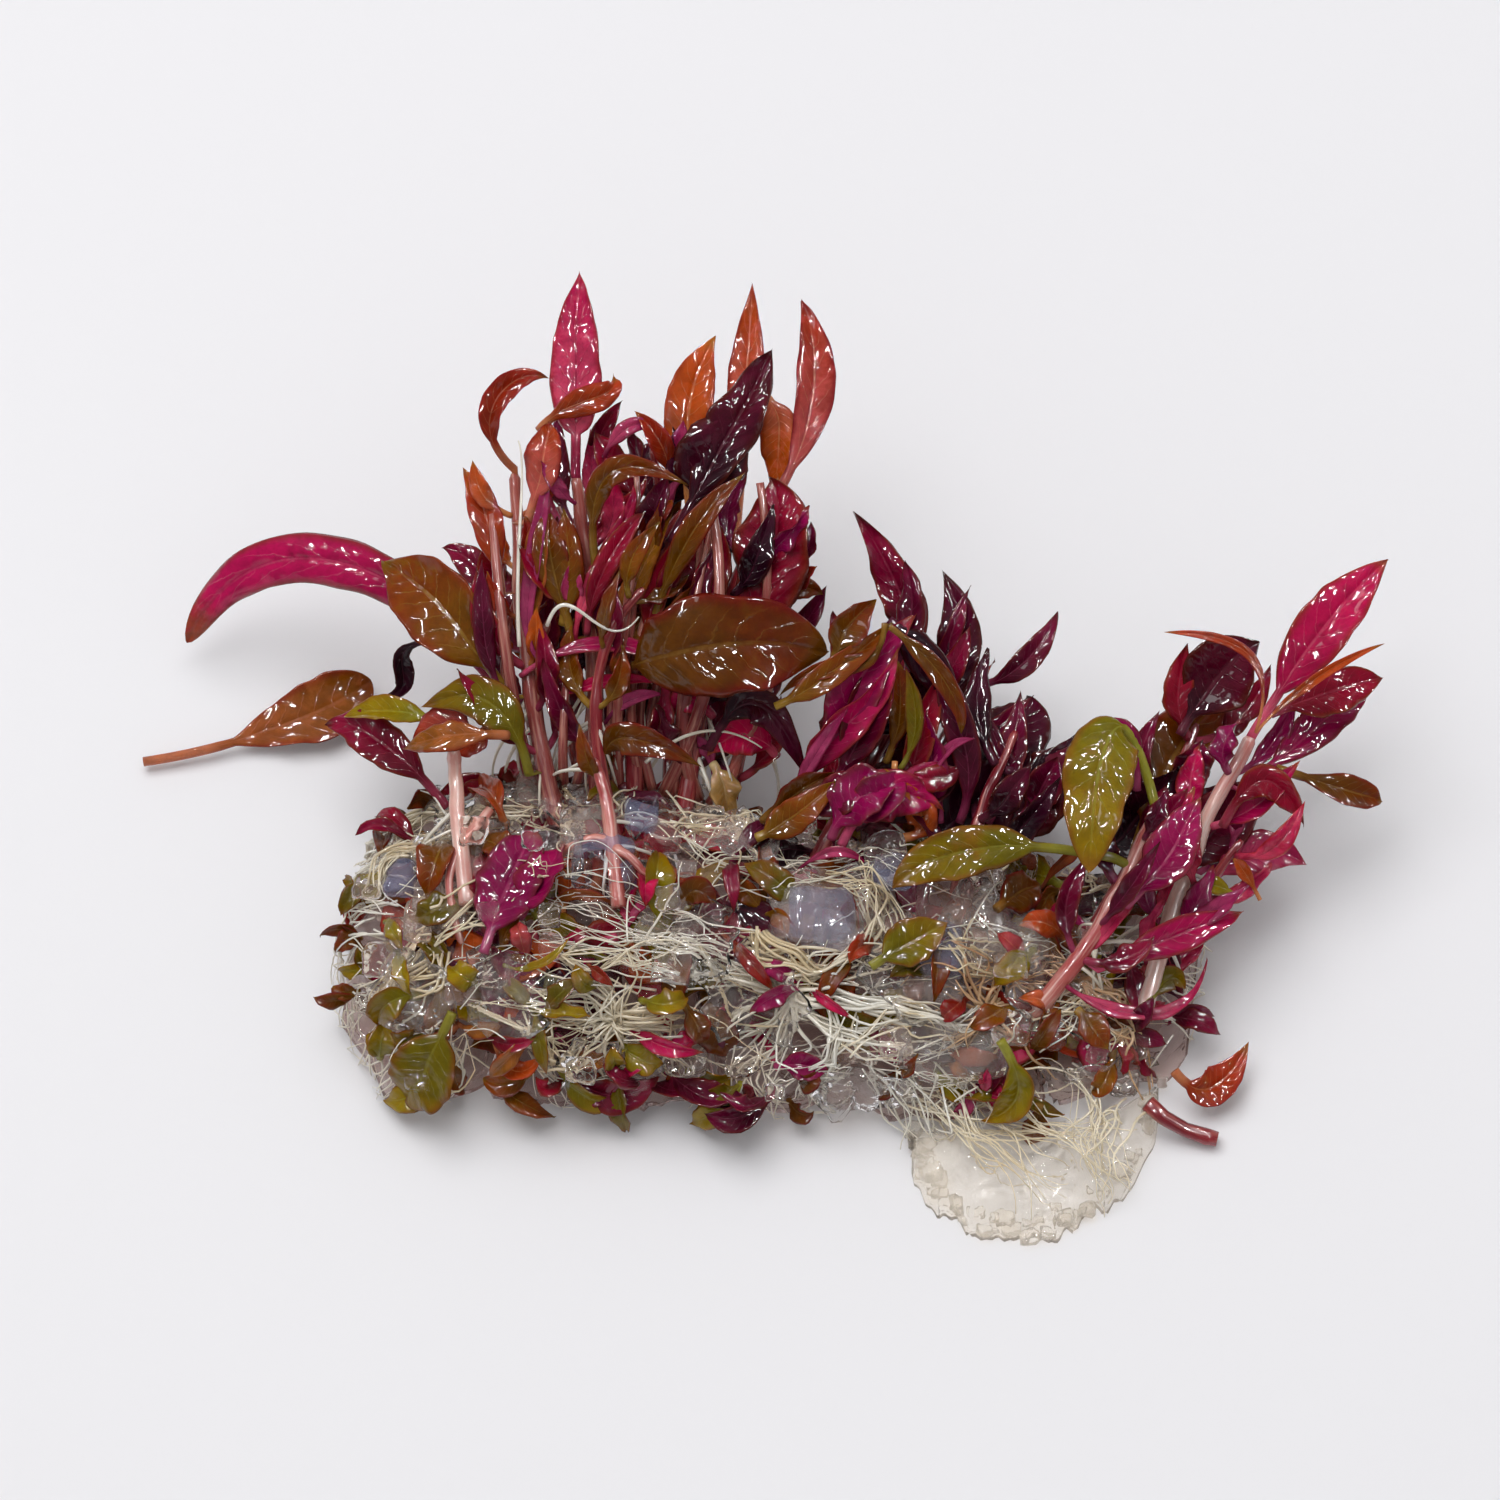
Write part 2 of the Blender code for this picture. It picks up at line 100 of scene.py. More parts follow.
def ramp(tree, value, low, high, to_low=0.0, to_high=1.0, **settings):
    """The value with its run from low to high stretched to another one, and held at its ends."""
    return add(tree, "MapRange", {"Value": value, "From Min": low, "From Max": high, "To Min": to_low,
                                  "To Max": to_high}, **settings).outputs[0]


FLOOR_REACH = 3000
FLOOR_DROP = 0.05

floor_finish, tree, surface = new_finish("floor")
speckle = grain(tree, add(tree, "TexCoord").outputs["Object"], 90.0, 3.0)
pale = add(tree, "BsdfPrincipled", {"Base Color": paint(228, 227, 230), "Specular IOR Level": 0.12,
                                    "Roughness": ramp(tree, speckle, 0.0, 1.0, 0.5, 0.6)})
tree.links.new(pale.outputs[0], surface)

floor_mesh = bpy.data.meshes.new("floor")
half = FLOOR_REACH / 2 * MM
corners = [(x, y, -FLOOR_DROP * MM) for x, y in ((-half, -half), (half, -half), (half, half), (-half, half))]
floor_mesh.from_pydata(corners, [], [(0, 1, 2, 3)])
floor_mesh.materials.append(floor_finish)
floor = bpy.data.objects.new("floor", floor_mesh)
bpy.context.scene.collection.objects.link(floor)

# Light
# Plain soft studio light: a broad lamp overhead and a pale surround light the clump and make soft shadows. A
# small soft box and five strip lamps are only mirrored, as the sheen and sharp streaks on wet leaves.
BROAD_LAMP = (-120, 200, 800)
BROAD_WIDTH = 650
BROAD_WATTS = 5.0
SOFT_BOX = (-400, 150, 560)
SOFT_BOX_WIDTHS = (240, 120)
SOFT_BOX_WATTS = 0.4
STRIP_LAMPS = ((-330, 300, 520), (300, 260, 560), (340, -120, 560), (-300, -180, 600), (210, 60, 720))
STRIP_WIDTHS = (170, 20)
STRIP_WATTS = 2.6
SURROUND = 0.5
SURROUND_MIRRORED = 0.16
SURROUND_THROUGH_JELLY = 0.62
LIT_PLACE = Vector((0, 15, 8))


def lamp(name, place, widths, watts, mirrored):
    """A rectangular lamp that faces the clump."""
    data = bpy.data.lights.new(name, "AREA")
    data.shape = "RECTANGLE"
    data.size, data.size_y = (width * MM for width in widths)
    data.energy = watts
    made = bpy.data.objects.new(name, data)
    place = Vector(place)
    turn = (LIT_PLACE - place).to_track_quat("-Z", "Y").to_matrix().to_4x4()
    made.matrix_world = Matrix.Translation(place * MM) @ turn
    made.visible_glossy = mirrored
    made.visible_diffuse = not mirrored
    made.visible_transmission = False
    bpy.context.scene.collection.objects.link(made)


lamp("broad_lamp", BROAD_LAMP, (BROAD_WIDTH, BROAD_WIDTH), BROAD_WATTS, False)
lamp("soft_box", SOFT_BOX, SOFT_BOX_WIDTHS, SOFT_BOX_WATTS, True)
for number, place in enumerate(STRIP_LAMPS):
    lamp(f"strip_lamp_{number}", place, STRIP_WIDTHS, STRIP_WATTS, True)

world = bpy.data.worlds.new("surround")
world.use_nodes = True
tree = world.node_tree
ray = add(tree, "LightPath").outputs
mirrored = add(tree, "Mix", {0: ray["Is Glossy Ray"], 2: SURROUND, 3: SURROUND_MIRRORED}).outputs[0]
bright = add(tree, "Mix", {0: ray["Is Transmission Ray"], 2: mirrored, 3: SURROUND_THROUGH_JELLY}).outputs[0]
background = tree.nodes["Background"].inputs
background["Color"].default_value = (1.0, 1.0, 1.0, 1.0)
tree.links.new(bright, background["Strength"])
bpy.context.scene.world = world


# Growing jelly
# The clear, faintly blue growing medium that the plants were raised on. It was poured, set and then torn
# into a ragged strip, so its skin is chipped and pitted, and its torn ends don't quite meet.
JELLY_X = (-43, -38, -28, -16, -4, 6, 14, 22, 30, 38)
JELLY_FRONT = (-5, -10.5, -12, -12, -12, -12.5, -13, -12.5, -11, -6)
JELLY_BACK = (14, 18, 20, 19, 18, 17, 16, 14, 12, 8)
JELLY_CREST = (7, 12, 14.5, 15, 14.5, 13.5, 13, 11, 8, 4.5)
JELLY_BULGE = 2.0
BULGE_FINENESS = (0.15, 4.5)
JELLY_CHIPS = 1.5
CHIP_SPREAD = (0.27, 7.5)
CREST_ROUNDNESS = 0.85
TEARS = ((-43, 0.12), (-26, 0.3), (-9, -0.22), (6, 0.25), (22, -0.2), (38, 0.1))
TEAR_GAP = 0.35
CHUNK_WIDTH = 7.0
CREASE_DEPTH = 1.9
CREASE_SHARE = 0.5
CHUNK_SINK = 1.1
SKIN_RUN = 40.0
TORN_CREST = 11.5
LUMPS = ("jelly_left", "jelly_under_bush", "jelly_middle", "jelly_right", "jelly_end")
SKIN_STEP = 0.34
SKIN_ROUGHNESS = 0.42
END_SHRINK = 0.16
ARC_STEPS = 130
FLOOR_STEPS = 36
CAP_STEPS = 16
FLAKE_WIDTHS = (2.6, 1.2)
FLAKE_SEED = 5
FLOOR_FACING = -0.6
CLOUD_SCALE = 170.0
CHUNK_SCALE = 130.0
CHUNK_WARP = 0.006
CREASE_SCALE = 420.0
RIPPLE_SCALE = 520.0
RIPPLE_HEIGHT = 0.0005
TOE_CLOUDS = 0.2


def between(x, places, values):
    """The value at x on the straight runs between places."""
    x = min(max(x, places[0]), places[-1])
    for i in range(len(places) - 1):
        if x <= places[i + 1]:
            share = (x - places[i]) / (places[i + 1] - places[i])
            return values[i] + share * (values[i + 1] - values[i])
    return values[-1]


def jelly_skin(x, a, size=1.0):
    """The strip's skin at x: a runs from 0 at the front toe over the crest to 1 at the back toe."""
    front = between(x, JELLY_X, JELLY_FRONT)
    back = between(x, JELLY_X, JELLY_BACK)
    crest = between(x, JELLY_X, JELLY_CREST)
    turn = math.pi * a
    bulge = JELLY_BULGE * noise.noise(Vector((BULGE_FINENESS[0] * x, BULGE_FINENESS[1] * a, 3.0)))
    bulge += JELLY_CHIPS * noise.noise(Vector((CHIP_SPREAD[0] * x, CHIP_SPREAD[1] * a, 7.0)))
    half = (back - front) / 2 * size + bulge
    y = (front + back) / 2 - half * math.cos(turn)
    z = (crest * size + bulge) * max(math.sin(turn), 0.0) ** CREST_ROUNDNESS
    return Vector((x, y, z))


def on_jelly(x, a, lift, size=1.0):
    """A point held lift above the strip's skin."""
    ahead = jelly_skin(x, a + 0.01, size) - jelly_skin(x, a - 0.01, size)
    outward = Vector((0.0, -ahead.z, ahead.y)).normalized()
    return jelly_skin(x, a, size) + outward * lift


def on_skin(*spots):
    """Points held above the strip's skin; each spot is its x, how far round it is, and its lift."""
    return [on_jelly(*spot) for spot in spots]


def piece(name, points, faces, material, slot_name, stands_for=()):
    """A smooth piece of the clump from points in millimetres, which rides with it."""
    mesh = bpy.data.meshes.new(name)
    mesh.from_pydata([tuple(p * MM) for p in points], [], faces)
    mesh.shade_smooth()
    mesh.materials.append(material)
    made = bpy.data.objects.new(name, mesh)
    bpy.context.scene.collection.objects.link(made)
    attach(made, "root")
    if stands_for:
        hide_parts(*stands_for)
    return made


def skinned(rings):
    """Points and faces of a closed body through rings of equal size, its two ends drawn to their middles."""
    each = len(rings[0])
    middles = [sum(ring, Vector()) / each for ring in (rings[0], rings[-1])]
    inward = [[m.lerp(p, step / CAP_STEPS) for p in ring]
              for m, ring, steps in ((middles[0], rings[0], range(1, CAP_STEPS)),
                                     (middles[1], rings[-1], range(CAP_STEPS - 1, 0, -1)))
              for step in steps]
    rings = inward[:CAP_STEPS - 1] + rings + inward[CAP_STEPS - 1:]
    points = [p for ring in rings for p in ring] + middles
    faces = []
    for i in range(len(rings) - 1):
        for k in range(each):
            a, b = i * each + k, i * each + (k + 1) % each
            faces.append((a, a + each, b + each, b))
    last = (len(rings) - 1) * each
    for k in range(each):
        faces.append((k, (k + 1) % each, len(points) - 2))
        faces.append((last + (k + 1) % each, last + k, len(points) - 1))
    return points, faces


def torn(x, run):
    """How deep the torn skin lies at x and run, both lengths along it: sunken chunks with creases between."""
    apart, cores = noise.voronoi(Vector((x, run, 0.0)) / CHUNK_WIDTH)
    inside = min(1.0, (apart[1] - apart[0]) / CREASE_SHARE)
    inside *= inside * (3 - 2 * inside)
    sunk = CHUNK_SINK * (0.5 + noise.noise(cores[0] * 7.3))
    return CREASE_DEPTH * (1 - inside) + sunk * inside


def chipped(spot, width, crease):
    """How high a chipped surface stands at a spot, from -1 to 0: each flake of it has its own height."""
    apart, cores = noise.voronoi(spot / width)
    edge = min(1.0, (apart[1] - apart[0]) / crease)
    return (0.5 + 0.5 * noise.noise(cores[0] * 7.3)) * edge * edge * (3 - 2 * edge) - 1.0


def roughen(made, depth):
    """Flakes, pits and ripples in a jelly body's skin; what lies on the floor stays flat."""
    normals = [v.normal.copy() for v in made.data.vertices]
    for corner, normal in zip(made.data.vertices, normals):
        spot = corner.co / MM
        bent = spot + 0.9 * noise.noise_vector(spot * 0.45)
        push = chipped(bent, FLAKE_WIDTHS[0], 0.3)
        push += 0.5 * chipped(bent + Vector((9, 4, 2)), FLAKE_WIDTHS[1], 0.4)
        push *= depth
        push += 0.3 * depth * (noise.noise(spot * 0.9) + noise.noise(spot * 2.3))
        if normal.z > FLOOR_FACING:
            spot += normal * push
        spot.z = max(spot.z, 0.0)
        corner.co = spot * MM
    made.data.update()


def blend(tree, share, a, b):
    """Colour a with this share of colour b over it."""
    return add(tree, "Mix", {0: share, 6: a, 7: b}, data_type="RGBA").outputs[2]


def both(tree, share, a, b):
    """Finish a with this share of finish b."""
    return add(tree, "MixShader", {0: share, 1: a.outputs[0], 2: b.outputs[0]})


def jelly_finish(name, tint, frost, deep, shade, clouds, deep_share, density):
    """Wet jelly: clear, with frosted chunks and some of a deeper colour; soft light passes it as shade."""
    tint, frost, deep, shade = (paint(*colour) for colour in (tint, frost, deep, shade))
    material, tree, surface = new_finish(name)
    place = add(tree, "TexCoord").outputs["Object"]
    height = add(tree, "SeparateXYZ", {0: place}).outputs[2]
    drift = grain(tree, place, CLOUD_SCALE, 6.0, 0.66, 0.8)
    strays = add(tree, "TexNoise", {"Vector": place, "Scale": 120.0}).outputs["Color"]
    warped = add(tree, "VectorMath", {0: strays, 1: (CHUNK_WARP,) * 3, 2: place}, operation="MULTIPLY_ADD")
    chunks = add(tree, "TexVoronoi", {"Vector": warped.outputs[0], "Scale": CHUNK_SCALE}).outputs["Color"]
    chunk = add(tree, "SeparateXYZ", {0: chunks}).outputs
    deeper = ramp(tree, chunk[1], 0.66, 0.74, 0.0, deep_share)
    share = ramp(tree, drift, 0.47, 0.68, 0.0, clouds)
    for other in (ramp(tree, chunk[0], 0.6, 0.95, 0.0, clouds),
                  ramp(tree, height, 0.0005, 0.004, TOE_CLOUDS, 0.0), deeper):
        share = add(tree, "Math", {0: share, 1: other}, operation="MAXIMUM").outputs[0]
    crease = add(tree, "TexVoronoi", {"Vector": place, "Scale": CREASE_SCALE}, feature="DISTANCE_TO_EDGE")
    fine = grain(tree, place, RIPPLE_SCALE, 1.5)
    heights = add(tree, "Math", {0: crease.outputs["Distance"], 1: 0.8, 2: fine}, operation="MULTIPLY_ADD")
    ripple = add(tree, "Bump", {"Height": heights.outputs[0], "Strength": 0.7,
                                "Distance": RIPPLE_HEIGHT}).outputs[0]
    rough = ramp(tree, drift, 0.3, 0.7, 0.02, 0.09)
    clear = add(tree, "BsdfPrincipled", {"Base Color": (1.0, 1.0, 1.0, 1.0), "Roughness": rough, "IOR": 1.34,
                                         "Transmission Weight": 1.0, "Normal": ripple})
    cloudy = blend(tree, deeper, frost, deep)
    milky = add(tree, "BsdfPrincipled", {"Base Color": cloudy, "Roughness": rough, "Normal": ripple,
                                         "Coat Weight": 0.8, "Coat Roughness": 0.04, "Coat Normal": ripple})
    through_milk = add(tree, "BsdfTranslucent", {"Color": cloudy, "Normal": ripple})
    body = both(tree, share, clear, both(tree, 0.5, milky, through_milk))
    ray = add(tree, "LightPath").outputs
    soft = add(tree, "Math", {0: ray["Is Shadow Ray"], 1: ray["Is Diffuse Ray"]}, operation="MAXIMUM")
    lit = add(tree, "BsdfTransparent", {"Color": shade})
    tree.links.new(both(tree, soft.outputs[0], body, lit).outputs[0], surface)
    depth = add(tree, "VolumeAbsorption", {"Color": tint, "Density": density})
    tree.links.new(depth.outputs[0], surface.node.inputs["Volume"])
    return material


clear_jelly = jelly_finish("clear_jelly", (226, 202, 200), (232, 204, 196), (140, 88, 102), (248, 239, 236),
                           0.22, 0.3, 40.0)

noise.seed_set(FLAKE_SEED)
jelly_bodies = []
for lump, left, right in zip(LUMPS, TEARS, TEARS[1:]):
    stations = round((right[0] - left[0]) / SKIN_STEP)
    rings = []
    for i in range(stations + 1):
        share = i / stations
        x = left[0] + TEAR_GAP / 2 + share * (right[0] - left[0] - TEAR_GAP)
        slant = left[1] + share * (right[1] - left[1])
        size = 1.0 - END_SHRINK * abs(2 * share - 1) ** 5
        crest = between(x, JELLY_X, JELLY_CREST)
        ring = []
        for k in range(ARC_STEPS + 1):
            a = k / ARC_STEPS
            along = x + slant * jelly_skin(x, a).y
            deep = torn(along, SKIN_RUN * a) * min(1.0, 8 * a, 8 * (1 - a), crest / TORN_CREST)
            spot = on_jelly(along, a, -deep, size)
            spot.x = x + slant * spot.y
            ring.append(spot)
        ring += [ring[-1].lerp(ring[0], k / FLOOR_STEPS) for k in range(1, FLOOR_STEPS)]
        rings.append(ring)
    body = piece(lump + "_torn", *skinned(rings), clear_jelly, "jelly", [lump])
    roughen(body, SKIN_ROUGHNESS)
    jelly_bodies.append(body)

# Slipped jelly
# A low heap of softer, paler jelly that has slid out in front of the strip. It is full of fine roots and
# lies flat on the table, so it looks cream rather than blue.
TAIL_MIDDLE = 23.0
TAIL_LENGTH = 23.0
TAIL_REACH = 11.5
TAIL_HEIGHT = 5.5
TAIL_STATIONS = 84
TAIL_STEPS = 64
TAIL_CHUNKS = 0.6
TAIL_LUMPS = 0.4
TAIL_GAP = 1.1
TAIL_FLOOR_STEPS = 20
TAIL_ROUGHNESS = 0.3

cream_jelly = jelly_finish("cream_jelly", (246, 241, 232), (250, 244, 234), (238, 228, 212),
                           (252, 250, 247), 0.3, 0.12, 22.0)

rings = []
for i in range(TAIL_STATIONS + 1):
    share = i / TAIL_STATIONS
    x = TAIL_MIDDLE + TAIL_LENGTH * (share - 0.5)
    full = math.sqrt(max(0.0, 1 - (2 * share - 1) ** 2))
    wobble = noise.noise(Vector((0.3 * x, 0.0, 9.0)))
    back = between(x, JELLY_X, JELLY_FRONT) - TAIL_GAP
    reach = TAIL_REACH * (0.3 + 0.7 * full) + 2.0 * wobble + 1.1 * noise.noise(Vector((1.1 * x, 4.0, 2.0)))
    height = TAIL_HEIGHT * (0.45 + 0.55 * full) + wobble
    ring = []
    for k in range(TAIL_STEPS + 1):
        turn = math.pi * k / TAIL_STEPS
        y = back - reach * (0.5 + 0.5 * math.cos(turn))
        sunk = TAIL_CHUNKS * torn(x, y) + TAIL_LUMPS * torn(2.4 * x + 9, 2.4 * y)
        ring.append(Vector((x, y, (height - sunk) * max(math.sin(turn), 0.0) ** 0.9)))
    ring += [ring[-1].lerp(ring[0], k / TAIL_FLOOR_STEPS) for k in range(1, TAIL_FLOOR_STEPS)]
    rings.append(ring)
tail = piece("jelly_tail_slipped", *skinned(rings), cream_jelly, "jelly", ["jelly_tail"])
roughen(tail, TAIL_ROUGHNESS)
jelly_bodies.append(tail)

# Jelly chips
# Smaller chips of the same jelly that broke off along the tears and stuck on. Flat torn faces bound them,
# with edges that have softened.
CHIP_FLATS = 9
CHIP_SHARPNESS = 10
CHIP_FINENESS = 3


def chip(points, faces, middle, size, seed, fineness=CHIP_FINENESS, flat=0.75):
    """Adds one chip of about this width, and of flat times that height."""
    dice = random.Random(seed)
    flats = []
    for _ in range(CHIP_FLATS):
        side = Vector([dice.gauss(0, 1) for _ in range(3)]).normalized()
        flats.append((side, dice.uniform(0.7, 1.1)))
    for side in ((0, 0, 1), (0, 0, -1), (0, 1, 0), (0, -1, 0), (1, 0, 0), (-1, 0, 0)):
        flats.append((Vector(side), dice.uniform(0.6, 0.9)))
    ball = bmesh.new()
    bmesh.ops.create_icosphere(ball, subdivisions=fineness, radius=1.0)
    first = len(points)
    for corner in ball.verts:
        way = corner.co.normalized()
        reach = sum(max(way.dot(flat), 0.0) ** CHIP_SHARPNESS / far ** CHIP_SHARPNESS for flat, far in flats)
        spot = way * (size / 2 * reach ** (-1 / CHIP_SHARPNESS))
        spot.z *= flat
        spot += way * (0.4 * chipped(spot + middle, 2.0, 0.3) + 0.15 * noise.noise((spot + middle) * 1.3))
        points.append(middle + spot)
    faces += [tuple(first + corner.index for corner in face.verts) for face in ball.faces]
    ball.free()


CHIPS = ((-16.8, 0.54, 6.4), (-12.2, 0.65, 5.0), (14.5, 0.56, 7.5), (12.8, 0.37, 5.2), (1.2, 0.48, 7.8),
         (-36.5, 0.58, 4.2), (-24.0, 0.8, 4.6), (-15.8, 0.82, 4.8), (24.0, 0.27, 5.4), (31.0, 0.42, 4.0),
         (-30.5, 0.3, 4.4), (5.5, 0.2, 4.6), (-9.0, 0.44, 4.2), (18.5, 0.66, 4.4), (-22.0, 0.4, 3.8),
         (-3.0, 0.72, 4.6))
chips, chip_faces = [], []
for number, (x, a, size) in enumerate(CHIPS):
    chip(chips, chip_faces, on_jelly(x, a, -0.15 * size), size, number)
jelly_bodies.append(piece("jelly_chips", chips, chip_faces, clear_jelly, "jelly"))

BLUE_CHUNKS = ((-17.2, 0.57, 8.4), (-14.0, 0.68, 5.4), (-36.6, 0.57, 5.2), (3.4, 0.48, 8.4),
               (14.2, 0.45, 7.4), (9.5, 0.6, 5.0))
blue_jelly = jelly_finish("blue_jelly", (186, 192, 220), (180, 188, 222), (104, 106, 146), (236, 238, 246),
                          0.28, 0.45, 80.0)
chips, chip_faces = [], []
for number, (x, a, size) in enumerate(BLUE_CHUNKS):
    chip(chips, chip_faces, on_jelly(x, a, -0.05 * size), size, 40 + number)
jelly_bodies.append(piece("blue_chunks", chips, chip_faces, blue_jelly, "jelly"))

# Wet jelly
# Soft clear jelly has smeared over the leaves and roots and dried to glassy lumps, thickest in the hollows of
# the strip and on the leaves that lie against it. Crumbs of the paler kind lie along the slipped heap's rim.
WET_LUMPS = 60
RIM_CRUMBS = 46
LUMPS_ON_LEAVES = ((-34.2, 0.15, 5.0), (-27.6, 0.44, 3.4), (-23.6, 0.58, 3.6), (-29.5, 0.62, 4.2),
                   (12.0, 0.43, 4.2), (21.0, 0.42, 4.6), (-11.0, 0.5, 3.8), (-19.0, 0.17, 4.0))
LUMP_LIFT = 2.2
LOWEST = 0.1


def settled(corners):
    """The corners with none of them lower than just above the table."""
    for corner in corners:
        corner.z = max(corner.z, LOWEST)
    return corners


wet_jelly = jelly_finish("wet_jelly", (232, 218, 212), (238, 222, 212), (156, 108, 94), (248, 243, 240),
                         0.12, 0.12, 40.0)

dice = random.Random(51)
chips, chip_faces = [], []
for number in range(WET_LUMPS):
    x, a, size = dice.uniform(-40, 34), dice.uniform(0.1, 0.8), dice.uniform(3.0, 7.0)
    middle = on_jelly(x, a, dice.uniform(-1.0, 0.8))
    chip(chips, chip_faces, middle, size, 100 + number, flat=dice.uniform(0.3, 0.5))
for number, (x, a, size) in enumerate(LUMPS_ON_LEAVES):
    chip(chips, chip_faces, on_jelly(x, a, LUMP_LIFT), size, 80 + number, flat=0.5)
piece("wet_lumps", settled(chips), chip_faces, wet_jelly, "jelly")

chips, chip_faces = [], []
for number in range(RIM_CRUMBS):
    turn = math.pi * (number + dice.uniform(0, 1)) / RIM_CRUMBS
    x = TAIL_MIDDLE - TAIL_LENGTH * dice.uniform(0.42, 0.52) * math.cos(turn)
    back = between(x, JELLY_X, JELLY_FRONT) - TAIL_GAP
    middle = Vector((x, back - TAIL_REACH * dice.uniform(0.78, 1.0) * math.sin(turn), dice.uniform(0.5, 1.0)))
    chip(chips, chip_faces, middle, dice.uniform(1.6, 3.2), 200 + number, 2, 0.6)
piece("rim_crumbs", settled(chips), chip_faces, cream_jelly, "jelly")

# Jelly films
# Thin ragged films of half-dried jelly, smeared over the strip when it was pulled apart. They are wrinkled,
# stuck down in places and loose in others.
FILM_RINGS = 10
FILM_SIDES = 38
FILM_THICKNESS = 0.16
FILMS = ((-29, 0.86, 15, 11), (-21, 0.8, 13, 10), (-31, 0.62, 9, 8), (-14, 0.74, 12, 9), (-22, 0.62, 9, 7),
         (-5, 0.68, 11, 8), (-9, 0.42, 10, 7), (4, 0.5, 12, 8), (-3, 0.3, 11, 8), (12, 0.4, 10, 8),
         (20, 0.52, 11, 8), (26, 0.36, 10, 8), (16, 0.22, 10, 7), (-26, 0.3, 9, 7), (-35, 0.3, 9, 8),
         (-17, 0.12, 10, 6), (7, 0.1, 10, 6), (29, 0.14, 9, 6))

film_jelly = jelly_finish("film_jelly", (222, 214, 210), (244, 238, 232), (200, 180, 170), (251, 249, 247),
                          0.12, 0.1, 20.0)

points, faces = [], []
for x, a, wide, long in FILMS:
    first = len(points)
    upper, lower = [], []
    for r in range(FILM_RINGS + 1):
        for k in range(FILM_SIDES):
            turn = 2 * math.pi * k / FILM_SIDES
            edge = 0.5 + 0.24 * noise.noise(Vector((1.6 * math.cos(turn), 1.6 * math.sin(turn), x)))
            edge += 0.1 * noise.noise(Vector((5 * math.cos(turn), 5 * math.sin(turn), x)))
            out = edge * r / FILM_RINGS
            spot_x, spot_a = x + wide * out * math.cos(turn), a + long * out * math.sin(turn) / SKIN_RUN
            wrinkle = abs(noise.noise(Vector((0.3 * spot_x, 8 * spot_a, a)))) ** 0.7
            wrinkle += 0.25 * abs(noise.noise(Vector((0.8 * spot_x, 22 * spot_a, a))))
            near = on_jelly(spot_x, min(max(spot_a, 0.03), 0.97), 2.6 * wrinkle - 0.6)
            near.z = max(near.z, 0.4)
            upper.append(near)
            lower.append(near - Vector((0, 0, FILM_THICKNESS * (1.02 - r / FILM_RINGS))))
    count = len(upper)
    points += upper + lower
    for r in range(FILM_RINGS):
        for k in range(FILM_SIDES):
            i, j = r * FILM_SIDES + k, r * FILM_SIDES + (k + 1) % FILM_SIDES
            corners = (i, i + FILM_SIDES, j + FILM_SIDES, j)
            faces.append(tuple(first + c for c in corners))
            faces.append(tuple(first + count + c for c in corners[::-1]))
    for k in range(FILM_SIDES):
        i, j = FILM_RINGS * FILM_SIDES + k, FILM_RINGS * FILM_SIDES + (k + 1) % FILM_SIDES
        faces.append((first + i, first + count + i, first + count + j, first + j))
piece("jelly_films", points, faces, film_jelly, "jelly")


# Stems
# Young juicy stems, salmon pink to nearly white, a little swollen where a pair of leaves grows out. Each
# is rooted in the jelly and bends up towards the light.
FACING = Vector((0.0, -0.35, 1.0)).normalized()
STREAK_SHAPE = (0.12, 1.6, 1.6)


def through(points, t):
    """The point at t on the smooth curve through evenly spaced points."""
    work = [Vector(p) for p in points]
    last = len(work) - 1
    for step in range(1, last + 1):
        for i in range(last + 1 - step):
            work[i] = work[i].lerp(work[i + 1], (t * last - i) / step)
    return work[0]


def heading(points, t):
    """The direction of that curve at t."""
    return (through(points, t + 0.01) - through(points, t - 0.01)).normalized()


def add_tube(points, faces, marks, path, radii, sides):
    """Adds a round tube along path, closed at both ends; a mark says where along and around it a point is."""
    first = len(points)
    across = None
    gone = path[0].x
    for i, spot in enumerate(path):
        along = (path[min(i + 1, len(path) - 1)] - path[max(i - 1, 0)]).normalized()
        across = (across or FACING.cross(along)) if across is None or across.length < 1e-6 else across
        across = (across - along * across.dot(along)).normalized()
        over = along.cross(across)
        gone += (spot - path[max(i - 1, 0)]).length
        for k in range(sides):
            turn = 2 * math.pi * k / sides
            out = radii[i] * (math.cos(turn) * across + math.sin(turn) * over)
            points.append(spot + out)
            marks.append((gone, radii[i] * math.cos(turn), radii[i] * math.sin(turn)))
    for i in range(len(path) - 1):
        for k in range(sides):
            a, b = first + i * sides + k, first + i * sides + (k + 1) % sides
            faces.append((a, b, b + sides, a + sides))
    faces.append(tuple(first + k for k in range(sides))[::-1])
    faces.append(tuple(len(points) - sides + k for k in range(sides)))


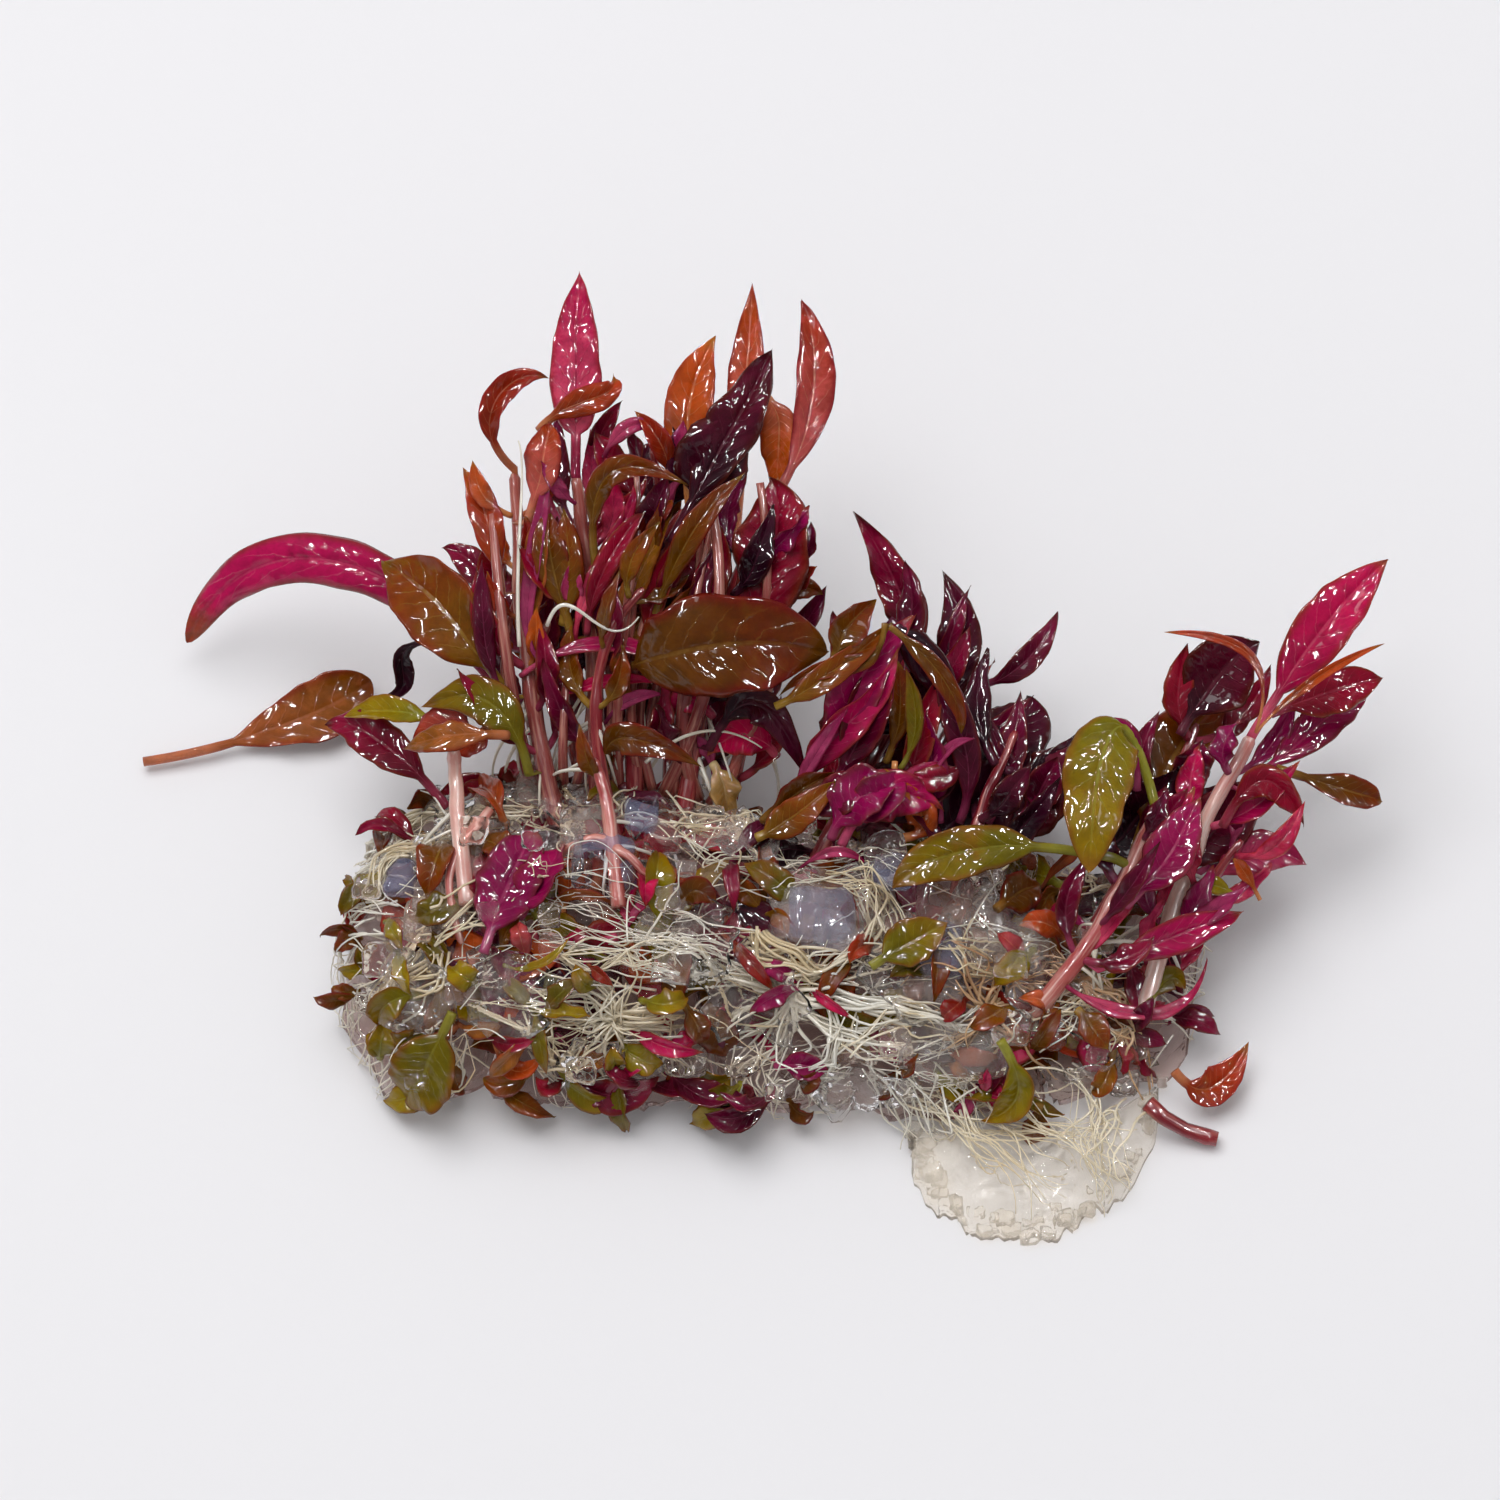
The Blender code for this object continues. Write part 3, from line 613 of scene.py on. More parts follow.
def flesh_finish(name, deep, light, streak, glow, streaks=0.7):
    """A juicy stem or root: wet, with lengthwise streaks on a light colour, and light passes through it."""
    deep, light, streak = (paint(*colour) for colour in (deep, light, streak))
    material, tree, surface = new_finish(name)
    place = add(tree, "TexCoord").outputs["Object"]
    strand = add(tree, "Attribute", attribute_name="strand").outputs["Vector"]
    drawn = add(tree, "VectorMath", {0: strand, 1: STREAK_SHAPE}, operation="MULTIPLY").outputs[0]
    fine = grain(tree, drawn, 1.6, 4.0)
    colour = blend(tree, ramp(tree, grain(tree, place, 95.0, 3.0), 0.38, 0.62), deep, light)
    colour = blend(tree, ramp(tree, fine, 0.48, 0.7, 0.0, streaks), colour, streak)
    bump = add(tree, "Bump", {"Height": fine, "Strength": 0.35, "Distance": 0.0002}).outputs[0]
    rough = ramp(tree, fine, 0.0, 1.0, 0.16, 0.4)
    wet = add(tree, "BsdfPrincipled", {"Base Color": colour, "Roughness": rough, "Normal": bump,
                                       "Coat Weight": 0.7, "Coat Roughness": 0.06, "Coat Normal": bump})
    glowing = add(tree, "BsdfTranslucent", {"Color": colour, "Normal": bump})
    tree.links.new(both(tree, glow, wet, glowing).outputs[0], surface)
    return material


def strands(name, points, faces, marks, material, slot_name, stands_for=()):
    """A piece made of tubes, with their marks kept for the finish."""
    made = piece(name, points, faces, material, slot_name, stands_for)
    kept = made.data.attributes.new("strand", "FLOAT_VECTOR", "POINT")
    kept.data.foreach_set("vector", [v for mark in marks for v in mark])
    return made


salmon_flesh = flesh_finish("salmon_flesh", (186, 78, 78), (222, 140, 126), (246, 210, 196), 0.25)
pale_flesh = flesh_finish("pale_flesh", (226, 150, 142), (246, 206, 192), (255, 244, 236), 0.3)
dusky_flesh = flesh_finish("dusky_flesh", (132, 50, 52), (186, 98, 88), (232, 172, 150), 0.22)
red_flesh = flesh_finish("red_flesh", (112, 18, 34), (162, 46, 54), (214, 118, 104), 0.22)
STEM_DEPTH = 5.0
STEM_SIDES = 14
STEM_STEPS = 44
FOOT_STEPS = 6
STEM_SWAY = 0.5
NODE_SWELL = 0.14
NODE_LENGTH = 0.05

TALL = (on_jelly(-23, 0.75, 0.9), (-25, 27, 19), (-26, 41, 27))
WINY = (on_jelly(-18.5, 0.78, 0.9), (-19, 30.5, 21.5), (-20, 40, 28))
RED = (on_jelly(-15, 0.78, 0.9), (-14, 30, 20), (-10, 38, 25.5))
DARK = (on_jelly(-10, 0.78, 0.9), (-7, 28, 18.5), (-3, 37, 24.5))
MIDDLE = (on_jelly(4, 0.72, 0.9), (7.5, 18.5, 13), (10.5, 24.5, 15.5))
ROSE = (on_jelly(26, 0.42, 1.5), (30, 3, 13), (34, 11, 15.5))
PALE = (on_jelly(34.5, 0.5, 1.5), (38, 10, 11), (43, 19, 16))
LEFT_FRONT = (on_jelly(-30.6, 0.58, 1.2), on_jelly(-31.4, 0.67, 3), (-31.5, 17, 17.5))
FRONT = (on_jelly(-16.3, 0.58, 1.1), on_jelly(-17.2, 0.67, 3), (-18.2, 15.5, 18))
FORKS = (on_skin((-16.6, 0.6, 1.2), (-14.7, 0.57, 1.3), (-12.6, 0.54, -0.6)),
         on_skin((-16.6, 0.6, 1.2), (-18.5, 0.6, 1.4), (-21.4, 0.59, -0.4)),
         on_skin((-30.8, 0.6, 1.2), (-31.6, 0.52, 1.6), (-30.2, 0.42, -0.5)))


def add_stem(points, faces, marks, route, thick, thin, swellings):
    """Adds a stem on its route, from a foot inside the jelly; it swells a little where its leaves grow."""
    foot = through(route, 0.0) - heading(route, 0.0) * STEM_DEPTH
    path = [foot.lerp(through(route, 0.0), k / FOOT_STEPS) for k in range(FOOT_STEPS)]
    shares = [0.0] * FOOT_STEPS
    for i in range(STEM_STEPS + 1):
        t = i / STEM_STEPS
        sway = Vector([noise.noise(Vector((4.0 * t, way, foot.x))) for way in (1, 2, 3)])
        path.append(through(route, t) + sway * STEM_SWAY * t)
        shares.append(t)
    radii = []
    for t in shares:
        swell = sum(math.exp(-((t - n) / NODE_LENGTH) ** 2) for n in swellings)
        uneven = noise.noise(Vector((7 * t, foot.x, 0)))
        radii.append((thick + t * (thin - thick)) / 2 * (1 + NODE_SWELL * swell + NODE_SWELL * uneven))
    radii += [radii[-1] * 0.6]
    path.append(path[-1] + heading(route, 1.0) * 0.5)
    add_tube(points, faces, marks, path, radii, STEM_SIDES)


def stem(node, route, thick, thin, flesh=salmon_flesh, swellings=(0.3, 0.62, 0.95)):
    """One stem in place of its solid."""
    points, faces, marks = [], [], []
    add_stem(points, faces, marks, route, thick, thin, swellings)
    return strands(node + "_grown", points, faces, marks, flesh, "stem", [node])


stem("tall_stem", TALL, 1.8, 1.1, dusky_flesh, (0.35, 0.7))
stem("wine_stem", WINY, 1.7, 1.1, dusky_flesh, (0.4, 0.85))
stem("red_stem", RED, 1.7, 1.1, red_flesh, (0.3, 0.6))
stem("dark_stem", DARK, 1.8, 1.1, red_flesh, (0.35, 0.8))
stem("middle_stem", MIDDLE, 2.0, 1.3, red_flesh, (0.5,))
stem("rose_stem", ROSE, 1.7, 1.2, salmon_flesh, (0.55, 0.9))
stem("pale_stem", PALE, 1.7, 1.3, pale_flesh, (0.5,))
stem("left_front_stem", LEFT_FRONT, 1.6, 1.2, pale_flesh, (0.9,))
stem("front_stem", FRONT, 1.4, 1.0, salmon_flesh, (0.5,))

points, faces, marks = [], [], []
for route in FORKS:
    add_stem(points, faces, marks, route, 1.0, 0.7, (0.2,))
strands("front_stem_forks", points, faces, marks, salmon_flesh, "stem")

# Younger shoots
# Thinner shoots stand behind and between the first ones and are hidden by their leaves from most sides.
BUSH_BACK = (on_jelly(-20, 0.84, 0.5), (-22.5, 33, 17), (-17, 45, 24))
BUSH_MID = (on_jelly(-12, 0.84, 0.5), (-12, 33, 17), (-13, 44, 26.5))
BUSH_LOW = (on_jelly(-17, 0.7, 0.5), (-18, 23, 20.5), (-14, 30, 25))
BUSH_RIGHT = (on_jelly(-6, 0.8, 0.5), (-3.5, 27, 14), (-1, 37, 19))
MIDDLE_BACK = (on_jelly(10, 0.78, 0.5), (13.5, 21, 10), (17, 29, 11))
MIDDLE_LOW = (on_jelly(16, 0.64, 0.5), (18, 12.5, 14), (21, 20, 15))
RIGHT_BACK = (on_jelly(30, 0.68, 0.5), (34, 14, 9), (38, 22, 12))
RIGHT_LOW = (on_jelly(33, 0.44, 0.5), (37, 4, 9), (42, 10, 12))

points, faces, marks = [], [], []
for route in (BUSH_BACK, BUSH_MID, BUSH_LOW, BUSH_RIGHT, MIDDLE_BACK, MIDDLE_LOW, RIGHT_BACK, RIGHT_LOW):
    add_stem(points, faces, marks, route, 1.3, 0.8, (0.4, 0.75))
strands("younger_shoots", points, faces, marks, red_flesh, "stem")


# Leaves of the tall stem
# Soft, wet, pointed blades on short stalks, about a third of a millimetre thick, with a sunken midrib and
# faint side veins that curve to the tip. Each grows from a swelling of its stem.
FINE = ((0.0, 0.06, 0.14, 0.26, 0.4, 0.55, 0.7, 0.83, 0.93, 1.0), 46, 8)
MIDDLING = ((0.0, 0.12, 0.4, 0.7, 0.92, 1.0), 18, 4)
COARSE = ((0.0, 0.4, 0.82, 1.0), 11, 3)
BLADE_THICKNESS = 0.32
STALK_THICKNESS = 0.95
VEIN_SLANT = 0.2
VEIN_PAIRS = 9.0
LEAF_GLOW = 0.36
WATER_SCALE = 380.0
GROOVE_DEPTH = 0.14
KEEL_DEPTH = 0.26
STALK_STEP = 1.95
END_STEP = 0.9


def leaf_finish(name, base, tip, vein, under, rim=None, nib=None, vein_share=0.5, gloss=0.26):
    """A leaf's skin: its colour runs from base to tip, with faint veins, a rim, and another colour below."""
    base, tip, vein, under, rim, nib = (paint(*colour) for colour in (base, tip, vein, under,
                                                                      rim or under, nib or under))
    material, tree, surface = new_finish(name)
    place = add(tree, "TexCoord").outputs["Object"]
    blade = add(tree, "Attribute", attribute_name="blade").outputs["Vector"]
    run, across, below = add(tree, "SeparateXYZ", {0: blade}).outputs
    tone = add(tree, "Attribute", attribute_name="tone").outputs["Fac"]

    def maths(operation, a, b=0.0, c=0.0):
        return add(tree, "Math", {0: a, 1: b, 2: c}, operation=operation).outputs[0]

    def step(value, low, high, to_low=0.0, to_high=1.0):
        return ramp(tree, value, low, high, to_low, to_high, interpolation_type="SMOOTHSTEP")

    broad = grain(tree, place, 210.0, 4.0, 0.66)
    mottle = grain(tree, place, 620.0, 4.0, 0.6)
    fine = grain(tree, place, 1100.0, 2.0, 0.6)
    puckers = add(tree, "TexVoronoi", {"Vector": place, "Scale": 620.0}).outputs["Distance"]
    water = grain(tree, place, WATER_SCALE, 1.0)
    side = maths("ABSOLUTE", across)
    bend = maths("MULTIPLY", maths("POWER", side, 1.3), VEIN_SLANT)
    order = maths("MULTIPLY_ADD", maths("SUBTRACT", run, bend), VEIN_PAIRS, maths("MULTIPLY", broad, 1.4))
    line = maths("ABSOLUTE", maths("SUBTRACT", maths("FRACT", order), 0.5))
    side_vein = maths("MULTIPLY", step(line, 0.42, 0.5, 0.0, 0.6), step(side, 0.4, 0.95, 1.0, 0.0))
    midrib = maths("MULTIPLY", step(side, 0.015, 0.075, 1.0, 0.0), step(run, 0.5, 1.0, 1.0, 0.1))
    veins = maths("MAXIMUM", side_vein, midrib)
    shown = maths("MULTIPLY", maths("MULTIPLY", veins, vein_share), step(fine, 0.35, 0.6, 0.5, 1.0))
    drift = maths("MULTIPLY_ADD", broad, 0.9, maths("SUBTRACT", run, 0.45))
    drift = maths("ADD", drift, maths("MULTIPLY_ADD", tone, 0.7, -0.35))
    colour = base
    for share, over in ((step(drift, 0.1, 0.95), tip), (step(broad, 0.54, 0.72, 0.0, 0.6), under),
                        (step(side, 0.66, 1.0, 0.0, 0.8), rim), (shown, vein),
                        (step(below, 0.45, 0.55, 0.0, 0.8), under), (step(run, -0.1, 0.06, 0.8, 0.0), vein),
                        (step(run, 0.84, 0.97, 0.0, 0.85), nib), (step(mottle, 0.5, 0.68, 0.0, 0.4), base)):
        colour = blend(tree, share, colour, over)
    shaded = maths("MULTIPLY", step(mottle, 0.3, 0.7, 0.82, 1.14), step(tone, 0.0, 1.0, 0.8, 1.3))
    light = add(tree, "HueSaturation", {"Color": colour, "Hue": step(tone, 0.0, 1.0, 0.49, 0.515),
                                        "Value": shaded}).outputs[0]
    heights = maths("MULTIPLY_ADD", puckers, 0.35, maths("SUBTRACT", fine, maths("MULTIPLY", veins, 0.9)))
    bump = add(tree, "Bump", {"Height": heights, "Strength": 0.3, "Distance": 0.0002}).outputs[0]
    sunk = maths("SUBTRACT", maths("MULTIPLY", puckers, 0.5), maths("MULTIPLY", veins, 0.4))
    wrinkles = maths("MULTIPLY_ADD", water, 1.6, sunk)
    film = add(tree, "Bump", {"Height": wrinkles, "Strength": 0.6, "Distance": 0.0003}).outputs[0]
    rough = step(fine, 0.2, 0.8, gloss, gloss + 0.25)
    wet = add(tree, "BsdfPrincipled", {"Base Color": light, "Roughness": rough, "Specular IOR Level": 0.04,
                                       "Normal": bump, "Coat Weight": 1.0, "Coat Roughness": 0.02,
                                       "Coat Normal": film})
    glowing = add(tree, "BsdfTranslucent", {"Color": light, "Normal": bump})
    tree.links.new(both(tree, LEAF_GLOW, wet, glowing).outputs[0], surface)
    return material


MAGENTA = leaf_finish("magenta_blade", (162, 4, 78), (206, 14, 102), (220, 96, 136), (104, 8, 40),
                      rim=(140, 46, 40), nib=(156, 70, 30))
ROSE_PINK = leaf_finish("rose_blade", (204, 74, 116), (178, 10, 88), (140, 6, 66), (166, 30, 66),
                        rim=(150, 22, 50), vein_share=0.7)
WINE_RED = leaf_finish("wine_blade", (96, 4, 36), (156, 10, 66), (172, 62, 96), (104, 26, 22),
                       rim=(128, 40, 26))
# The night blade is near black. It is the real colour of the wet purple leaf, and painted shade on the dark
# leaves that fill the shaded gaps between the shoots.
NIGHT_AND_SHADE = leaf_finish("night_and_shade_blade", (44, 4, 24), (98, 8, 48), (112, 42, 66), (62, 16, 14), rim=(88, 26, 22))
COPPER = leaf_finish("copper_blade", (154, 50, 12), (200, 62, 26), (214, 136, 90), (166, 96, 24),
                     rim=(172, 44, 34))
FLAME = leaf_finish("flame_blade", (206, 92, 84), (188, 62, 6), (236, 160, 120), (150, 34, 24),
                    rim=(144, 14, 26))
BRONZE = leaf_finish("bronze_blade", (112, 66, 0), (134, 46, 4), (166, 124, 50), (128, 84, 8),
                     rim=(136, 30, 18))
OLIVE = leaf_finish("olive_blade", (122, 108, 2), (152, 116, 4), (166, 160, 60), (150, 92, 20),
                    rim=(140, 76, 20))
RUST = leaf_finish("rust_blade", (172, 90, 44), (140, 76, 6), (206, 124, 90), (124, 54, 10),
                   rim=(150, 40, 30))
TAN = leaf_finish("tan_blade", (196, 150, 92), (168, 116, 56), (220, 194, 150), (206, 166, 118))
SLOTS = {"magenta_blade": "magenta_leaf", "rose_blade": "magenta_leaf", "wine_blade": "wine_leaf",
         "night_and_shade_blade": "wine_leaf", "copper_blade": "copper_leaf", "flame_blade": "copper_leaf",
         "bronze_blade": "bronze_leaf", "rust_blade": "bronze_leaf", "olive_blade": "olive_leaf",
         "tan_blade": "bronze_leaf"}


def outline(u, widest, taper):
    """A blade's share of its width at u: it is full at widest and draws out to its tip."""
    if not 0 < u < 1:
        return 0.0
    rise = taper * widest / (1 - widest)
    return (u / widest) ** rise * ((1 - u) / (1 - widest)) ** taper


def add_leaf(points, faces, marks, course, width, foot=None, roll=0.0, twist=0.0, fold=14.0, stalk=0.16,
             widest=0.42, taper=1.1, wave=0.25, curl=0.0, crinkle=0.08, tone=0.5, detail=FINE):
    """Adds one leaf, like the solids' but finely shaped; a mark is (run, across, below, tone)."""
    first = len(points)
    across, steps, stalk_steps = detail
    across = [-s for s in across[:0:-1]] + list(across)
    stations = [stalk * i / stalk_steps for i in range(stalk_steps)]
    stations += [stalk + (1 - stalk) * i / steps for i in range(steps)]
    stations.append(stalk + (1 - stalk) * (1 - 0.25 / steps))
    seed = Vector(course[1]).x * 0.37 + Vector(course[1]).z
    ring = 2 * len(across) - 2
    stalk_width = min(STALK_THICKNESS, 0.3 * width)
    for number, t in enumerate(([-1.0] if foot is not None else []) + stations):
        at_foot = t < 0
        t = max(t, 0.0)
        run = (t - stalk) / (1 - stalk)
        u = max(0.0, run)
        half = max(width * outline(u, widest, taper), stalk_width * (1 - u)) / 2
        solid = max(0.0, 1 - 3 * u)
        depth = BLADE_THICKNESS * (1 - 0.5 * u) + (stalk_width - BLADE_THICKNESS) * solid
        along = heading(course, t)
        side = along.cross(FACING).normalized()
        side.rotate(Matrix.Rotation(math.radians(roll + twist * (t - 0.5)), 3, along))
        up = side.cross(along)
        lift = math.tan(math.radians(fold)) * min(1.0, 2 * u) * (1.15 - 0.5 * u)
        open_share = min(1.0, 4 * u)
        middle = foot if at_foot else through(course, t)
        sway = noise.noise(Vector((2.5 * t, seed, 4.0))) * 0.06 * width * open_share
        upper, lower = [], []
        for s in across:
            flat = abs(s)
            rise = lift * half * (math.sqrt(s * s + 0.02) - 0.14) + curl * half * flat ** 3 * open_share
            rise += wave * math.sin(5 * math.pi * u + 0.6 * s + seed) * s * flat * min(1.0, 3 * u)
            rise += 0.3 * half * noise.noise(Vector((6.0 * u, 1.2 * s, seed))) * flat ** 2 * open_share
            vein = VEIN_PAIRS * (u - VEIN_SLANT * flat ** 1.3)
            swell = crinkle * half ** 0.5 * abs(math.sin(math.pi * vein)) ** 0.8
            swell = swell * (1 - flat ** 3) * min(1.0, 6 * flat)
            swell *= open_share * (1 - u ** 4)
            edge = 1 + 0.1 * noise.noise(Vector((9.0 * u, seed, s)))
            spot = middle + side * (s * half * edge + sway) + up * rise
            spot += up * open_share * 0.3 * noise.noise(spot * 0.3)
            groove = GROOVE_DEPTH * math.exp(-(s * half / 0.3) ** 2) * open_share
            keel = KEEL_DEPTH * math.exp(-(s * half / 0.35) ** 2) * open_share * (1 - u)
            thick = depth / 2 * math.sqrt(max(0.0, 1 - s * s)) ** (1.0 if solid else 0.6)
            upper.append((spot + up * (thick + swell - groove), (run, s, 0.0, tone)))
            lower.append((spot + up * (swell - thick - keel), (run, s, 1.0 if flat < 1 else 0.5, tone)))
        for point, mark in upper + lower[-2:0:-1]:
            points.append(point)
            marks.append(mark)
    rings = number + 1
    for i in range(rings - 1):
        for k in range(ring):
            a, b = first + i * ring + k, first + i * ring + (k + 1) % ring
            faces.append((a, a + ring, b + ring, b))
    tip = len(points)
    points.append(through(course, 1.0))
    marks.append((1.0, 0.0, 0.0, tone))
    last = first + (rings - 1) * ring
    for k in range(ring):
        faces.append((last + k, tip, last + (k + 1) % ring))
    faces.append(tuple(first + k for k in range(ring)))


def leaf_piece(name, points, faces, marks, material, stands_for=()):
    """A piece from one or more added leaves, with their marks kept for the finish."""
    made = piece(name, points, faces, material, SLOTS[material.name], stands_for)
    kept = made.data.attributes.new("blade", "FLOAT_VECTOR", "POINT")
    kept.data.foreach_set("vector", [v for mark in marks for v in mark[:3]])
    kept = made.data.attributes.new("tone", "FLOAT", "POINT")
    kept.data.foreach_set("value", [mark[3] for mark in marks])
    return made


def leaf(node, course, width, material, **shape):
    """One leaf in place of its solid."""
    points, faces, marks = [], [], []
    add_leaf(points, faces, marks, course, width, **shape)
    return leaf_piece(node + "_grown", points, faces, marks, material, [node])


def stem_leaf(node, route, t, rest, width, material, **shape):
    """One leaf in place of its solid, from the side of a stem at t or from its end at 1, on through rest."""
    start = through(route, t)
    along = heading(route, t)
    grown = start + along * END_STEP
    if t < 1:
        out = Vector(rest[0]) - start
        out -= out.project(along)
        grown = start + out.normalized() * STALK_STEP
    leaf(node, (grown, *rest), width, material, foot=start, **shape)


stem_leaf("drooping_leaf", TALL, 0.22, ((-37, 34, 17.3), (-50, 39, 14.5), (-60, 35, 5)), 4.8, MAGENTA,
          roll=-12, curl=-0.35, widest=0.5, taper=0.55, stalk=0.12, wave=0.35, tone=0.6)
leaf("fallen_leaf", ((-64, 24, 1.2), (-52, 27, 1.8), (-42, 32, 3)), 6.4, RUST, widest=0.68, stalk=0.3,
     curl=0.1, taper=0.62, fold=12, wave=0.1, crinkle=0.03, tone=0.5)
stem_leaf("bronze_leaf", TALL, 0.35, ((-33, 30, 21), (-39, 36, 20)), 7.4, BRONZE, roll=-8, fold=20,
          curl=0.2, wave=0.4, tone=0.8)
stem_leaf("small_red_leaf", TALL, 0.5, ((-30, 36, 17.5), (-34, 39, 17)), 3.2, WINE_RED)
stem_leaf("golden_leaf", TALL, 0.68, ((-28.5, 37, 26), (-31, 42.5, 26.5)), 3.0, COPPER, fold=30)
stem_leaf("looped_leaf", TALL, 1, ((-28, 44.5, 32), (-26, 47.5, 33.8), (-22.5, 48.5, 33)), 2.6, COPPER,
          fold=35, twist=40, tone=0.3)
stem_leaf("high_oval_leaf", TALL, 0.88, ((-22.8, 40.5, 31.5), (-22.5, 44, 32.5)), 3.6, FLAME, fold=22)
stem_leaf("olive_leaf_left", TALL, 0.08, ((-28, 21, 19.5), (-35, 22, 17)), 4.4, OLIVE, tone=0.3)
leaf("wine_leaf_left", (on_jelly(-33, 0.78, 1.2), (-39.5, 21, 12), (-45, 23.5, 10)), 4.4, WINE_RED, fold=10,
     tone=0.6)

# Leaves of the wine-coloured stem
# The same soft blades; this shoot ends in the highest one, which is pink magenta with darker side veins.
stem_leaf("highest_leaf", WINY, 1, ((-20, 50.5, 33), (-20, 59, 35)), 4.8, ROSE_PINK, widest=0.3, taper=1.0,
          fold=18, tone=0.7)
stem_leaf("dark_olive_leaf", WINY, 0.4, ((-22.3, 33, 26.3), (-22.3, 37, 28)), 3.4, BRONZE)
stem_leaf("arched_leaf", WINY, 0.62, ((-16.5, 38, 33), (-9, 37.5, 32)), 2.6, BRONZE, fold=30)
stem_leaf("long_brown_leaf", WINY, 0.05, ((-15, 17.5, 19.5), (-8, 15.5, 17)), 3.2, BRONZE, roll=10, fold=25,
          tone=0.3)

# Leaves of the red stem
# A copper and a wet purple blade at its top, and the broad oval one that lies across the front of the
# bush.
stem_leaf("copper_leaf", RED, 1, ((-9.5, 47, 29.5), (-7, 53, 33)), 4.6, COPPER, fold=24, tone=0.8)
stem_leaf("wet_purple_leaf", RED, 0.85, ((-5.5, 43.5, 31.5), (-1.5, 50.5, 35)), 5.0, NIGHT_AND_SHADE, wave=0.8,
          crinkle=0.3, fold=24, tone=0.7)
stem_leaf("narrow_grey_leaf", RED, 0.5, ((-9, 34, 28.5), (-4, 39.5, 31)), 2.6, BRONZE, fold=25)
stem_leaf("magenta_strip_leaf", RED, 0.45, ((-9.2, 33.5, 22.5), (-7.5, 38.5, 25)), 3.0, MAGENTA)
stem_leaf("broad_oval_leaf", RED, 0.35, ((-12.5, 23.5, 24), (-5, 23.5, 27.5), (4, 24, 24.5)), 9.6, BRONZE,
          roll=12, fold=7, stalk=0.2, widest=0.52, taper=0.72, wave=0.3, crinkle=0.16, tone=0.25)

# Leaves of the dark stem
# Red and orange pointed blades at the top, and below them the largest purple one, puckered between its
# veins.
stem_leaf("red_leaf", DARK, 1, ((2, 47.5, 30), (1, 57, 33)), 3.8, FLAME, roll=20, fold=26, widest=0.5,
          tone=0.35)
stem_leaf("orange_leaf", DARK, 0.9, ((-4.5, 47, 27), (-4, 60, 31)), 3.4, FLAME, stalk=0.4, fold=26,
          tone=0.6)
stem_leaf("broad_purple_leaf", DARK, 0.35, ((-1.5, 34, 24.5), (-2, 40.5, 28)), 7.4, WINE_RED, roll=-10,
          crinkle=0.26, wave=0.5, tone=0.75)
stem_leaf("arching_leaf", DARK, 0.15, ((-3, 21, 19.5), (1.5, 16, 14)), 3.6, NIGHT_AND_SHADE, roll=15, fold=30)

# Leaves on the jelly's front
# Small blades of shoots that grow inside the jelly; they break its skin or lie against it.
leaf("heart_leaf", on_skin((-31, 0.27, 1.5), (-34, 0.16, 2.2), (-36, 0.05, 1.6)), 6.6,
     OLIVE, taper=0.8, fold=20, tone=0.35)
leaf("magenta_jelly_leaf", on_skin((-28, 0.37, 1.3), (-26, 0.5, 1.8), (-24, 0.62, 1.6)),
     6.0, MAGENTA, taper=0.8, wave=0.5, tone=0.0)
leaf("bright_olive_leaf", on_skin((8, 0.37, 2.6), (11.5, 0.42, 3.0), (15, 0.48, 2.2)), 4.4,
     OLIVE, fold=25, tone=0.5)
leaf("curved_olive_leaf", on_skin((20, 0.26, 2.6), (21.5, 0.15, 3), (18, 0.08, 2.6)), 3.2,
     OLIVE, fold=30, tone=0.6)

# Leaves of the middle stem
# Dark wine blades that overlap closely, the tallest with a waved edge.
stem_leaf("middle_tall_leaf", MIDDLE, 1, ((10.5, 31.5, 20.5), (6, 38, 26)), 4.0, WINE_RED, wave=0.9,
          fold=24, crinkle=0.25)
stem_leaf("middle_wavy_leaf", MIDDLE, 0.8, ((6, 24.5, 20), (4, 30, 21)), 3.6, WINE_RED, wave=0.8)
stem_leaf("middle_dark_leaf", MIDDLE, 0.7, ((15.5, 28, 15.5), (14, 36, 18)), 4.4, NIGHT_AND_SHADE, fold=20)
stem_leaf("middle_purple_leaf", MIDDLE, 0.3, ((6, 20.5, 21.5), (12, 28, 25)), 5.0, MAGENTA, roll=12,
          fold=22, wave=0.5, tone=0.35)
leaf("middle_magenta_leaf", (on_jelly(5, 0.62, 1.6), (9, 12.5, 17), (14.5, 12, 15)), 5.0, MAGENTA, roll=10,
     wave=0.6, crinkle=0.25, tone=0.5)
# The shadowed leaf's near-black blade is painted shade, low in the gap under the middle stem's other leaves.
stem_leaf("shadowed_leaf", MIDDLE, 0.15, ((19, 20, 11), (22, 27, 9.5)), 6.5, NIGHT_AND_SHADE, stalk=0.4)

